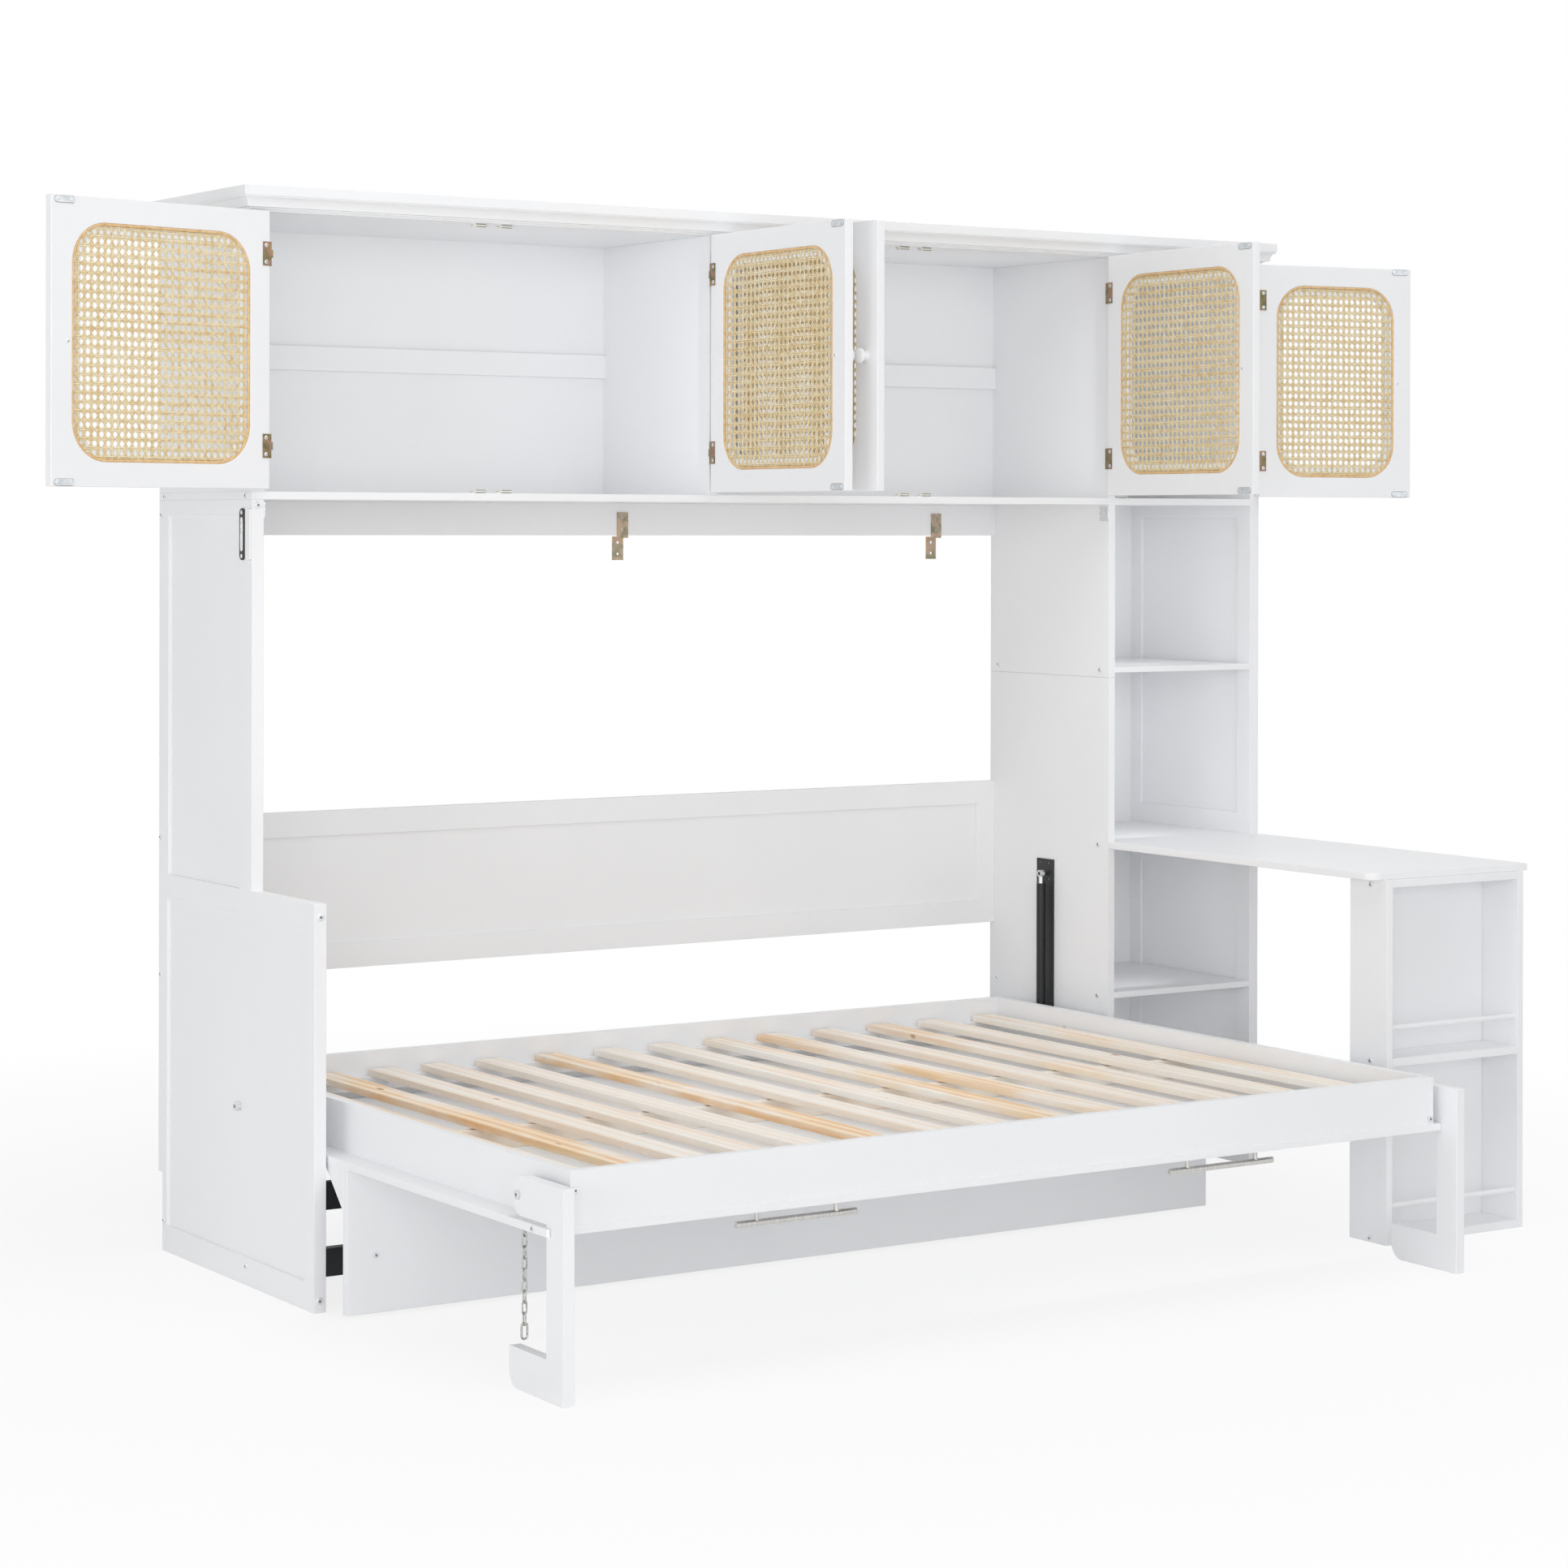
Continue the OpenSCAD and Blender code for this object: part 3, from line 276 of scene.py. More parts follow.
plated = {"colourEdge": (0.35, 0.68), "sheenDown": 0.06, "sheenUp": 0.1}


def makePlatedSteel(name, pale, dark, roughness, patchMm):
    # zinc plated steel: bright with a cloudy, slightly uneven passivation film
    material, tree, shader = startMaterial(name, pale, roughness, 1.0)
    where = addNode(tree, "TexCoord").outputs["Object"]
    film = addNode(tree, "TexNoise", inputs={"Scale": 1000 / patchMm, "Detail": 3.0},
                   links={"Vector": where}).outputs["Fac"]
    tint = addNode(tree, "ValToRGB", links={"Fac": film},
                   stops=list(zip(plated["colourEdge"], (pale, dark))))
    tree.links.new(tint.outputs["Color"], shader.inputs["Base Color"])
    giveSurface(tree, shader, plated, film=film)
    return material


yellowZinc = {
    "filmMm": 38.4615, "swirl": 1.5, "colourEdges": (0.32, 0.45, 0.56, 0.70), "metallic": 0.55,
    "roughness": 0.42, "grainMm": 1.66667, "depth": 0.0001, "strength": 0.2,
}


def makeYellowZinc(name, colours):
    # yellow chromate over zinc: straw gold drifting to olive and pink in patches a few centimetres across
    material, tree, shader = startMaterial(name, colours[1], yellowZinc["roughness"], yellowZinc["metallic"])
    where = addNode(tree, "TexCoord").outputs["Object"]
    film = addNode(tree, "TexNoise", links={"Vector": where}, inputs={
        "Scale": 1000 / yellowZinc["filmMm"], "Detail": 1.0, "Distortion": yellowZinc["swirl"]})
    tint = addNode(tree, "ValToRGB", links={"Fac": film.outputs["Fac"]},
                   stops=list(zip(yellowZinc["colourEdges"], colours)))
    tree.links.new(tint.outputs["Color"], shader.inputs["Base Color"])
    grain = addNode(tree, "TexNoise", inputs={"Scale": 1000 / yellowZinc["grainMm"]},
                    links={"Vector": where})
    giveSurface(tree, shader, yellowZinc, height=grain.outputs["Fac"])
    return material


brushed = {
    "colour": "#C9C7C3", "shades": [(0.3, "#B9B7B3"), (0.7, "#DCDAD6")], "roughness": 0.32,
    "sheenDown": 0.08, "sheenUp": 0.1, "lineMm": (1, 25, 25), "depth": 0.00005, "strength": 0.3,
}


def makeBrushedSteel():
    # brushed stainless bar: fine lines round the bar at about 0.4 mm, drawn at 1 mm so that they show
    material, tree, shader = startMaterial("brushedStainless", brushed["colour"], brushed["roughness"], 1.0)
    where = addNode(tree, "TexCoord").outputs["Object"]
    along = addNode(tree, "Mapping", links={"Vector": where}, inputs={
        "Scale": [1000 / size for size in brushed["lineMm"]]})
    lines = addNode(tree, "TexNoise", inputs={"Scale": 1.0, "Detail": 2.0},
                    links={"Vector": along.outputs[0]}).outputs["Fac"]
    tint = addNode(tree, "ValToRGB", links={"Fac": lines}, stops=brushed["shades"])
    tree.links.new(tint.outputs["Color"], shader.inputs["Base Color"])
    giveSurface(tree, shader, brushed, height=lines, film=lines)
    return material


powder = {"wearMm": 71.429, "sheenDown": 0.08, "sheenUp": 0.12, "depth": 0.0001, "strength": 0.4}


def makePowderCoat(name, colour, roughness, peelMm):
    # black powder coat: a fine orange peel that breaks up the highlight
    material, tree, shader = startMaterial(name, colour, roughness)
    where = addNode(tree, "TexCoord").outputs["Object"]
    peel = addNode(tree, "TexNoise", inputs={"Scale": 1000 / peelMm, "Detail": 2.0},
                   links={"Vector": where})
    wear = addNode(tree, "TexNoise", inputs={"Scale": 1000 / powder["wearMm"], "Detail": 3.0},
                   links={"Vector": where})
    giveSurface(tree, shader, powder, height=peel.outputs["Fac"], film=wear.outputs["Fac"])
    return material


moulded = {
    "ior": 1.53, "grainMm": 1.42857, "sheenDown": 0.05, "sheenUp": 0.08, "depth": 0.00005, "strength": 0.3,
}


def makePlastic(name, colour, roughness):
    # moulded ABS: even colour, faint moulding texture
    material, tree, shader = startMaterial(name, colour, roughness, ior=moulded["ior"])
    where = addNode(tree, "TexCoord").outputs["Object"]
    grain = addNode(tree, "TexNoise", inputs={"Scale": 1000 / moulded["grainMm"], "Detail": 1.0},
                    links={"Vector": where}).outputs["Fac"]
    giveSurface(tree, shader, moulded, height=grain, film=grain)
    return material


paint = makeSatinPaint("satinPaintOnBoard", "#F7F8FA", 0.38)
knobPaint = makeSatinPaint("satinPaintOnKnobs", "#F7F7F7", 0.3)
pineWood = makePlanedPine("planedPine", 1)
bearerWood = makePlanedPine("planedPineAcross", 0)
caneStrands = makeRattan("splitCane", "#FBF0D4", "#F4E0B4", "#E2C28A")
caneBead = makeRattan("reedBead", "#F3D8AC", "#E9C592", "#DBAE74")
zincSteel = makePlatedSteel("zincPlatedSteel", "#EDEFF0", "#CFD2D4", 0.42, 6)
chainSteel = makePlatedSteel("zincPlatedChain", "#C9C9C7", "#9A9894", 0.3, 4)
# dull zinc for the catch poles and screws; on the door screws it is the painted shade of the cross recesses
dullSteelAndCrossShade = makePlatedSteel("dullZincAndCrossShade", "#9C9B98", "#6B6A68", 0.45, 3)
strikeSteel = makePlatedSteel("stampedZincStrikes", "#E3E7EA", "#CDD2D6", 0.42, 9)
# painted shade for the hexagon sockets of the bolt heads
socketShadeSteel = makePlatedSteel("paintedSocketShade", "#8E9194", "#6C6F72", 0.6, 2)
hingeSteel = makeYellowZinc("yellowChromateHinges", ["#6E6848", "#8B7D5A", "#9E7F70", "#A98C62"])
bracketSteel = makeYellowZinc("yellowChromateBrackets", ["#8C876C", "#A8A186", "#C4A998", "#C9AD86"])
handleSteel = makeBrushedSteel()
blackCoat = makePowderCoat("blackPowderCoat", "#303234", 0.5, 1.5)
blackTube = makePowderCoat("blackLacquer", "#1C1D1F", 0.3, 3.0)
seatGrey = makePlastic("greyStrikeSeat", "#8E9194", 0.5)
whitePlastic = makePlastic("mouldedCreamPlastic", "#F1F1EA", 0.35)
print("materials made")

# ---- finishes of the CAD nodes, with the width of their softened edges in millimetres ----

paintedBoards = {
    "left_side_frame": 1.0, "infill_panels": 0.3, "tower_inner_side": 1.0, "tower_outer_side": 1.0,
    "tower_shelves": 1.0, "side_desk_top": 1.5, "bookcase_case": 1.0, "bookcase_shelves": 1.0,
    "cabinet_floor": 1.0, "cabinet_uprights": 0.8, "cabinet_top": 1.0, "back_boards": 0.3,
    "hanging_rail": 0.8, "crown_moulding": 0.6, "top_back_rail": 1.0, "rear_panel_frame": 1.0,
    "bed_rails": 1.5, "bed_bottom": 1.5, "desk_board": 1.2, "desk_gussets": 1.0,
    "leg_left": 2.0, "leg_right": 2.0,
}
metalParts = {
    "cross_rails": (blackCoat, 1.5), "spring_plates": (blackCoat, 0.5), "latch_keepers": (zincSteel, 0.4),
    "wall_brackets": (bracketSteel, 0.6), "frame_hinge_leaves": (hingeSteel, 0.3),
    "pivot_bolts": (zincSteel, 0.6), "pull_handles": (handleSteel, 0.8), "joint_bolts": (zincSteel, 0.4),
    "bed_fittings": (zincSteel, 0.4), "lock_plate": (blackCoat, 0.8), "spring_rod_left": (zincSteel, 0.4),
    "spring_rod_right": (zincSteel, 0.4), "spring_tube_left": (blackTube, 0.8),
    "spring_tube_right": (blackTube, 0.8), "chain": (chainSteel, 0),
}
for i in range(1, 6):
    paintedBoards[f"door_{i}_frame"] = 1.6
    metalParts[f"door_{i}_leaves"] = (hingeSteel, 0.3)
softEdge = {"weldMm": 0.02, "flatAngle": 0.3, "edgeAngle": 40, "segments": 3}


def dressNode(name, material, edge):
    # flat faces are merged before the bevel, so that it meets whole faces only
    node = nodes[name]
    node.data.materials.clear()
    node.data.materials.append(material)
    if edge:
        weld = node.modifiers.new("weld", "WELD")
        weld.merge_threshold = softEdge["weldMm"] * mm
        flat = node.modifiers.new("flat", "DECIMATE")
        flat.decimate_type = "DISSOLVE"
        flat.angle_limit = math.radians(softEdge["flatAngle"])
        bevel = node.modifiers.new("edge", "BEVEL")
        bevel.width = edge * mm
        bevel.segments = softEdge["segments"]
        bevel.limit_method = "ANGLE"
        bevel.angle_limit = math.radians(softEdge["edgeAngle"])
        bevel.use_clamp_overlap = True
        even = node.modifiers.new("shade", "WEIGHTED_NORMAL")
        even.keep_sharp = False


for name, edge in paintedBoards.items():
    dressNode(name, paint, edge)
for name, (material, edge) in metalParts.items():
    dressNode(name, material, edge)
print("CAD nodes dressed")

# ---- mesh helpers ----


def finishPiece(name, shape, material, body, smooth=False):
    bmesh.ops.recalc_face_normals(shape, faces=shape.faces)
    mesh = bpy.data.meshes.new(name)
    shape.to_mesh(mesh)
    shape.free()
    for polygon in mesh.polygons:
        polygon.use_smooth = smooth
    mesh.materials.append(material)
    piece = bpy.data.objects.new(name, mesh)
    bpy.context.scene.collection.objects.link(piece)
    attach(piece, body)
    return piece


def joinRings(shape, rings, closed=False):
    # walls between rings with the same number of vertices; closed joins the last ring to the first
    pairs = list(zip(rings, rings[1:]))
    if closed:
        pairs.append((rings[-1], rings[0]))
    for a, b in pairs:
        for j in range(len(a)):
            k = (j + 1) % len(a)
            shape.faces.new((a[j], a[k], b[k], b[j]))


def capEnds(shape, rings):
    shape.faces.new(rings[0])
    shape.faces.new(reversed(rings[-1]))


def addStrand(shape, points, sides, closed=False):
    # a strand with a ring of vertices at each point; sides are each ring's offsets from its point
    rings = [[shape.verts.new(point + offset) for offset in ring] for point, ring in zip(points, sides)]
    joinRings(shape, rings, closed)
    if not closed:
        capEnds(shape, rings)


def addLathe(shape, profile, frameMatrix, segments):
    # profile: (radius, height) pairs; a pair on the axis is a single point
    rings = []
    step = 2 * math.pi / segments
    for radius, height in profile:
        if radius < 1e-7:
            rings.append([shape.verts.new(frameMatrix @ Vector((0, 0, height)))])
        else:
            rings.append([shape.verts.new(frameMatrix @ Vector((
                radius * math.cos(step * j), radius * math.sin(step * j), height))) for j in range(segments)])
    for a, b in zip(rings, rings[1:]):
        for j in range(segments):
            k = (j + 1) % segments
            if len(a) == 1:
                shape.faces.new((a[0], b[j], b[k]))
            elif len(b) == 1:
                shape.faces.new((a[j], a[k], b[0]))
            else:
                shape.faces.new((a[j], a[k], b[k], b[j]))


def roundedLoop(opening, arcSteps):
    # points and outward directions round a rectangle with rounded corners
    x0, x1, z0, z1, r = opening
    loop = []
    corners = ((x1 - r, z0 + r, -90), (x1 - r, z1 - r, 0), (x0 + r, z1 - r, 90), (x0 + r, z0 + r, 180))
    for cx, cz, start in corners:
        for k in range(arcSteps + 1):
            a = math.radians(start + 90 * k / arcSteps)
            loop.append((cx + r * math.cos(a), cz + r * math.sin(a), math.cos(a), math.sin(a)))
    return loop


def addPlate(shape, opening, profile, put, arcSteps=6):
    # a plate with a rounded outline; profile = (inset, height) pairs from its back up to its middle
    loop = roundedLoop(opening, arcSteps)
    rings = [[shape.verts.new(put(x - ox * inset, z - oz * inset, height)) for x, z, ox, oz in loop]
             for inset, height in profile]
    joinRings(shape, rings)
    capEnds(shape, rings)


def smoothProfile(points, steps):
    # a Catmull-Rom curve through the points
    out = []
    last = len(points) - 1
    for k in range(last):
        p0, p1, p2, p3 = (points[min(max(k + d, 0), last)] for d in (-1, 0, 1, 2))
        for s in range(steps):
            t = s / steps
            out.append(tuple(0.5 * (2 * b + (c - a) * t + (2 * a - 5 * b + 4 * c - d) * t * t
                                    + (3 * b - a - 3 * c + d) * t ** 3)
                             for a, b, c, d in zip(p0, p1, p2, p3)))
    out.append(points[-1])
    return out


# ---- doors: local x runs from the hinge axis along the door, n out of its front, z up ----

doorSet = {
    "hingeX": [29, 1033, 1052, 2072, 2496],
    "hingeF": 456,
    "hungRight": [False, True, False, True, True],
    "open": [167.5, 90, 84, 89, 171],
    "width": [496, 496, 504, 504, 409],
    "lowZ": 1531, "highZ": 2063, "thick": 18, "gap": 5,
    "frameW": 46, "cornerR": 75, "knobInset": 36,
}


def doorMatrix(i):
    side = 1 if doorSet["hungRight"][i] else -1
    turn = Matrix.Rotation(math.radians(side * doorSet["open"][i]), 4, "Z")
    flip = Matrix.Diagonal((-1 if doorSet["hungRight"][i] else 1, 1, 1, 1))
    return Matrix.Translation(place(doorSet["hingeX"][i], doorSet["hingeF"], 0)) @ turn @ flip


def onDoor(matrix, x, n, z):
    return matrix @ Vector((x * mm, -n * mm, z * mm))


def openingOf(i, inset):
    # the rounded opening: low and high x, low and high z, corner radius
    m = doorSet["frameW"] + inset
    return (doorSet["gap"] + m, doorSet["gap"] + doorSet["width"][i] - m,
            doorSet["lowZ"] + m, doorSet["highZ"] - m, doorSet["cornerR"] - inset)


def insideOpening(opening, x, z):
    x0, x1, z0, z1, r = opening
    if not (x0 <= x <= x1 and z0 <= z <= z1):
        return False
    cx = min(max(x, x0 + r), x1 - r)
    cz = min(max(z, z0 + r), z1 - r)
    return (x - cx) ** 2 + (z - cz) ** 2 <= r * r


cane = {
    "pitchX": 15.15, "pitchZ": 16.9, "strandW": 2.7, "strandT": 0.7, "pairOffset": 1.5, "diagonalW": 2.5,
    "wave": 0.3, "lift": 0.7, "riseLift": 0.2, "depth": -6.6, "intoFrame": 1.0,
}


def clipStrand(opening, start, step, count):
    # the run of points of a straight strand that lies inside the opening, with its exact ends
    inside = [insideOpening(opening, start[0] + step[0] * k, start[1] + step[1] * k) for k in range(count)]
    if not any(inside):
        return []
    first = inside.index(True)
    last = count - 1 - inside[::-1].index(True)

    def edge(a, b):
        for _ in range(16):
            middle = (a + b) / 2
            if insideOpening(opening, start[0] + step[0] * middle, start[1] + step[1] * middle):
                a = middle
            else:
                b = middle
        return a

    places = [float(k) for k in range(first, last + 1)]
    if first > 0:
        places.insert(0, edge(first, first - 1))
    if last < count - 1:
        places.append(edge(last, last + 1))
    return places


def addCaneStrand(shape, matrix, opening, start, step, count, height, width):
    places = clipStrand(opening, start, step, count)
    if len(places) < 2:
        return
    along = Vector((step[0], step[1])).normalized()
    across = Vector((-along.y, along.x))
    points, sides = [], []
    half, thick = width / 2, cane["strandT"] / 2
    for k in places:
        x, z = start[0] + step[0] * k, start[1] + step[1] * k
        n = cane["depth"] + height(k)
        centre = onDoor(matrix, x, n, z)
        ring = []
        for a, b in ((-half, 0), (0, thick), (half, 0), (0, -thick)):
            ring.append(onDoor(matrix, x + across.x * a, n + b, z + across.y * a) - centre)
        points.append(centre)
        sides.append(ring)
    addStrand(shape, points, sides)


def makeCane(i):
    matrix = doorMatrix(i)
    opening = openingOf(i, cane["intoFrame"])
    x0, x1, z0, z1, _ = opening
    px, pz = cane["pitchX"], cane["pitchZ"]
    columns = int((x1 - x0) / px) + 3
    rows = int((z1 - z0) / pz) + 3
    midX, midZ = (x0 + x1) / 2, (z0 + z1) / 2
    firstX = midX - (columns // 2 + 0.5) * px
    firstZ = midZ - (rows // 2 + 0.5) * pz
    shape = bmesh.new()
    # uprights and cross strands run in pairs between the holes and weave over and under each other
    for c in range(columns + 1):
        for s, pair in ((-1, 0), (1, 1)):
            x = firstX + c * px + s * cane["pairOffset"]
            addCaneStrand(shape, matrix, opening, (x, firstZ - pz), (0, pz / 2), 2 * rows + 6,
                          lambda k, odd=(c + pair) % 2: cane["wave"] * math.cos(math.pi * (k / 2 + odd)),
                          cane["strandW"])
    for r in range(rows + 1):
        for s, pair in ((-1, 0), (1, 1)):
            z = firstZ + r * pz + s * cane["pairOffset"]
            addCaneStrand(shape, matrix, opening, (firstX - px, z), (px / 2, 0), 2 * columns + 6,
                          lambda k, odd=(r + pair) % 2: -cane["wave"] * math.cos(math.pi * (k / 2 + odd)),
                          cane["strandW"])
    # slanting strands pass on the inner side of the uprights and on the outer side of the cross strands
    for rise in (1, -1):
        for line in range(-rows - 2, columns + rows + 4):
            startX = firstX + line * px
            startZ = firstZ - pz / 2 if rise == 1 else firstZ + (rows + 1) * pz - pz / 2
            lift = cane["lift"] + cane["riseLift"] * rise
            addCaneStrand(shape, matrix, opening, (startX, startZ), (px / 2, rise * pz / 2), 2 * rows + 6,
                          lambda k, lift=lift: -lift if k % 2 == 0 else lift, cane["diagonalW"])
    piece = finishPiece(f"door{i + 1}Cane", shape, caneStrands, f"door_{i + 1}", smooth=True)
    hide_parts(f"door_{i + 1}_cane")


bead = {
    "section": [(0.0, 1.0), (0.5, 0.9), (0.8, 0.3), (1.6, 0.0), (3.2, 0.0), (4.0, 0.3), (4.3, 0.9),
                (4.9, 1.0), (5.1, 1.5)],
    "intoFrame": 0.2, "sunk": 0.3, "belowCane": 0.2, "arcSteps": 14,
}


def makeBead(i):
    # a reed pressed into the groove flush with the door: a round back with a fine groove each side
    matrix = doorMatrix(i)
    loop = roundedLoop(openingOf(i, bead["intoFrame"]), bead["arcSteps"])
    top = -doorSet["thick"] / 2 + bead["sunk"]
    low = cane["depth"] - bead["belowCane"]
    section = [(d, top + n) for d, n in bead["section"]]
    section = [(section[0][0], low)] + section + [(section[-1][0], low)]
    shape = bmesh.new()
    points, sides = [], []
    for x, z, ox, oz in loop:
        centre = onDoor(matrix, x, 0, z)
        points.append(centre)
        sides.append([onDoor(matrix, x - ox * d, n, z - oz * d) - centre for d, n in section])
    addStrand(shape, points, sides, closed=True)
    finishPiece(f"door{i + 1}Bead", shape, caneBead, f"door_{i + 1}", smooth=True)


knob = {
    "profile": [(0, 0), (11, 0), (11, 1.2), (9.6, 2.6), (7.4, 4.6), (6.6, 6.6), (7.0, 8.8), (9.2, 11.0),
                (12.8, 12.6), (15.0, 14.4), (15.5, 16.2), (14.9, 18.2), (12.8, 20.0), (9.0, 21.3),
                (4.5, 21.9), (0, 22.0)],
    "straight": 2, "curveSteps": 4, "segments": 64,
}


def makeKnob(i):
    matrix = doorMatrix(i)
    x = doorSet["gap"] + doorSet["width"][i] - doorSet["knobInset"]
    z = (doorSet["lowZ"] + doorSet["highZ"]) / 2
    start = knob["straight"]
    curve = smoothProfile(knob["profile"][start:], knob["curveSteps"])
    profile = [(max(r, 0) * mm, h * mm) for r, h in knob["profile"][:start] + curve]
    seat = Matrix.Translation((x * mm, -doorSet["thick"] / 2 * mm, z * mm))
    shape = bmesh.new()
    addLathe(shape, profile, matrix @ seat @ Matrix.Rotation(math.radians(90), 4, "X"), knob["segments"])
    piece = finishPiece(f"door{i + 1}Knob", shape, knobPaint, f"door_{i + 1}", smooth=True)
    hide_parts(f"door_{i + 1}_knob")


screws = {
    "leafR": 4.0, "leafH": 1.0, "leafSpread": 16, "leafX": 9.5, "leafZ": 82, "leafSunk": 1.5, "leafCut": 0.55,
    "knobR": 3.4, "knobH": 1.6, "knobCut": 0.6,
    # the rest are shares of the head's radius or height
    "head": [(1, 0), (1, 0.35), (0.85, 0.75), (0.55, 1), (0, 1)], "segments": 24,
    # the cut sizes place the dark bars that paint the shade of the cross recess
    "cutTurn": 20, "cutHalf": 0.22, "cutLow": 0.6, "cutHigh": 1.02,
}


def addScrewHead(shape, seat, radius, height):
    addLathe(shape, [(radius * r, height * h) for r, h in screws["head"]], seat, screws["segments"])


def addCross(shape, seat, radius, height):
    # painted shade of the cross recess: two thin dark bars laid in the head, a hair proud of it, where the
    # recess would lie in shade
    half = radius * screws["cutHalf"]
    corners = [(-radius, -half), (radius, -half), (radius, half), (-radius, half)]
    for turn in (0, 90):
        spin = seat @ Matrix.Rotation(math.radians(turn + screws["cutTurn"]), 4, "Z")
        rings = [[shape.verts.new(spin @ Vector((x, y, height * share))) for x, y in corners]
                 for share in (screws["cutLow"], screws["cutHigh"])]
        joinRings(shape, rings)
        capEnds(shape, rings)


def makeDoorScrews(i):
    matrix = doorMatrix(i)
    gap = doorSet["gap"]
    heads, crossShadeMesh = bmesh.new(), bmesh.new()
    inner = -doorSet["thick"] / 2
    face = Matrix.Rotation(math.radians(-90), 4, "X")
    for middle in (doorSet["lowZ"] + screws["leafZ"], doorSet["highZ"] - screws["leafZ"]):
        for s in (-1, 1):
            z = middle + s * screws["leafSpread"]
            at = Vector((gap + screws["leafX"], screws["leafSunk"] - inner, z))
            seat = matrix @ Matrix.Translation(at * mm) @ face
            addScrewHead(heads, seat, screws["leafR"] * mm, screws["leafH"] * mm)
            addCross(crossShadeMesh, seat, screws["leafR"] * screws["leafCut"] * mm, screws["leafH"] * mm)
    knobX = gap + doorSet["width"][i] - doorSet["knobInset"]
    at = Vector((knobX, -inner, (doorSet["lowZ"] + doorSet["highZ"]) / 2))
    seat = matrix @ Matrix.Translation(at * mm) @ face
    addScrewHead(heads, seat, screws["knobR"] * mm, screws["knobH"] * mm)
    addCross(crossShadeMesh, seat, screws["knobR"] * screws["knobCut"] * mm, screws["knobH"] * mm)
    finishPiece(f"door{i + 1}Screws", heads, zincSteel, f"door_{i + 1}", smooth=True)
    finishPiece(f"door{i + 1}ScrewCrossShade", crossShadeMesh, dullSteelAndCrossShade, f"door_{i + 1}")


strikes = {
    "length": 43.6, "height": 12.1, "fromEdge": 7.3, "fromTop": 1.95, "thick": 1.5, "rimOut": 0.8,
    "rim": [(0, 0), (0, 0.25), (0.4, 0.4)], "body": [(0, 0), (0, 1.0), (0.5, 1.5), (1.3, 1.5), (1.7, 1.3)],
    "screwR": 3.2, "screwH": 0.9, "screwIn": 6.5, "screwSunk": 0.4,
}


def makeStrikes(i):
    # the steel counterplates of the magnetic catches, a pill with a raised rim and a screw at each end
    matrix = doorMatrix(i)
    inner = -doorSet["thick"] / 2
    x1 = doorSet["gap"] + doorSet["width"][i] - strikes["fromEdge"]
    x0 = x1 - strikes["length"]
    shape, rims = bmesh.new(), bmesh.new()
    face = Matrix.Rotation(math.radians(-90), 4, "X")
    for z0 in (doorSet["lowZ"] + strikes["fromTop"],
               doorSet["highZ"] - strikes["fromTop"] - strikes["height"]):
        z1 = z0 + strikes["height"]
        # a little less than half the height, so that no two vertices meet
        r = strikes["height"] / 2 - 0.01
        out = strikes["rimOut"]

        def put(x, z, height):
            return onDoor(matrix, x, inner - height, z)

        addPlate(rims, (x0 - out, x1 + out, z0 - out, z1 + out, r + out), strikes["rim"], put)
        addPlate(shape, (x0, x1, z0, z1, r), strikes["body"], put)
        for x in (x0 + strikes["screwIn"], x1 - strikes["screwIn"]):
            at = Vector((x, strikes["thick"] - strikes["screwSunk"] - inner, (z0 + z1) / 2))
            addScrewHead(shape, matrix @ Matrix.Translation(at * mm) @ face,
                         strikes["screwR"] * mm, strikes["screwH"] * mm)
    finishPiece(f"door{i + 1}Strikes", shape, strikeSteel, f"door_{i + 1}")
    finishPiece(f"door{i + 1}StrikeSeats", rims, seatGrey, f"door_{i + 1}")


for i in range(5):
    makeCane(i)
    makeBead(i)
    makeKnob(i)
    makeDoorScrews(i)
    makeStrikes(i)
print("doors dressed")

# ---- magnetic catches: a cream housing with two dark poles on its face, a screwed ear at each end ----

catches = {
    "middleX": [502, 560, 1533, 1591, 2128.6], "length": 38, "rearF": 416, "frontF": 432, "height": 8,
    "ceilingZ": 2064, "floorZ": 1526, "edge": 1.4, "ear": 6, "earD": 10, "earR": 4.5, "earH": 2.5,
    "faceIn": 0.6, "earEase": 0.5, "poleH": 1.5, "poleAt": 2.3, "poleIn": 1.5, "poleR": 0.5, "poleOut": 3,
    "poleEase": 0.2, "screwR": 2.2, "screwH": 0.9, "screwIn": 2.8,
}


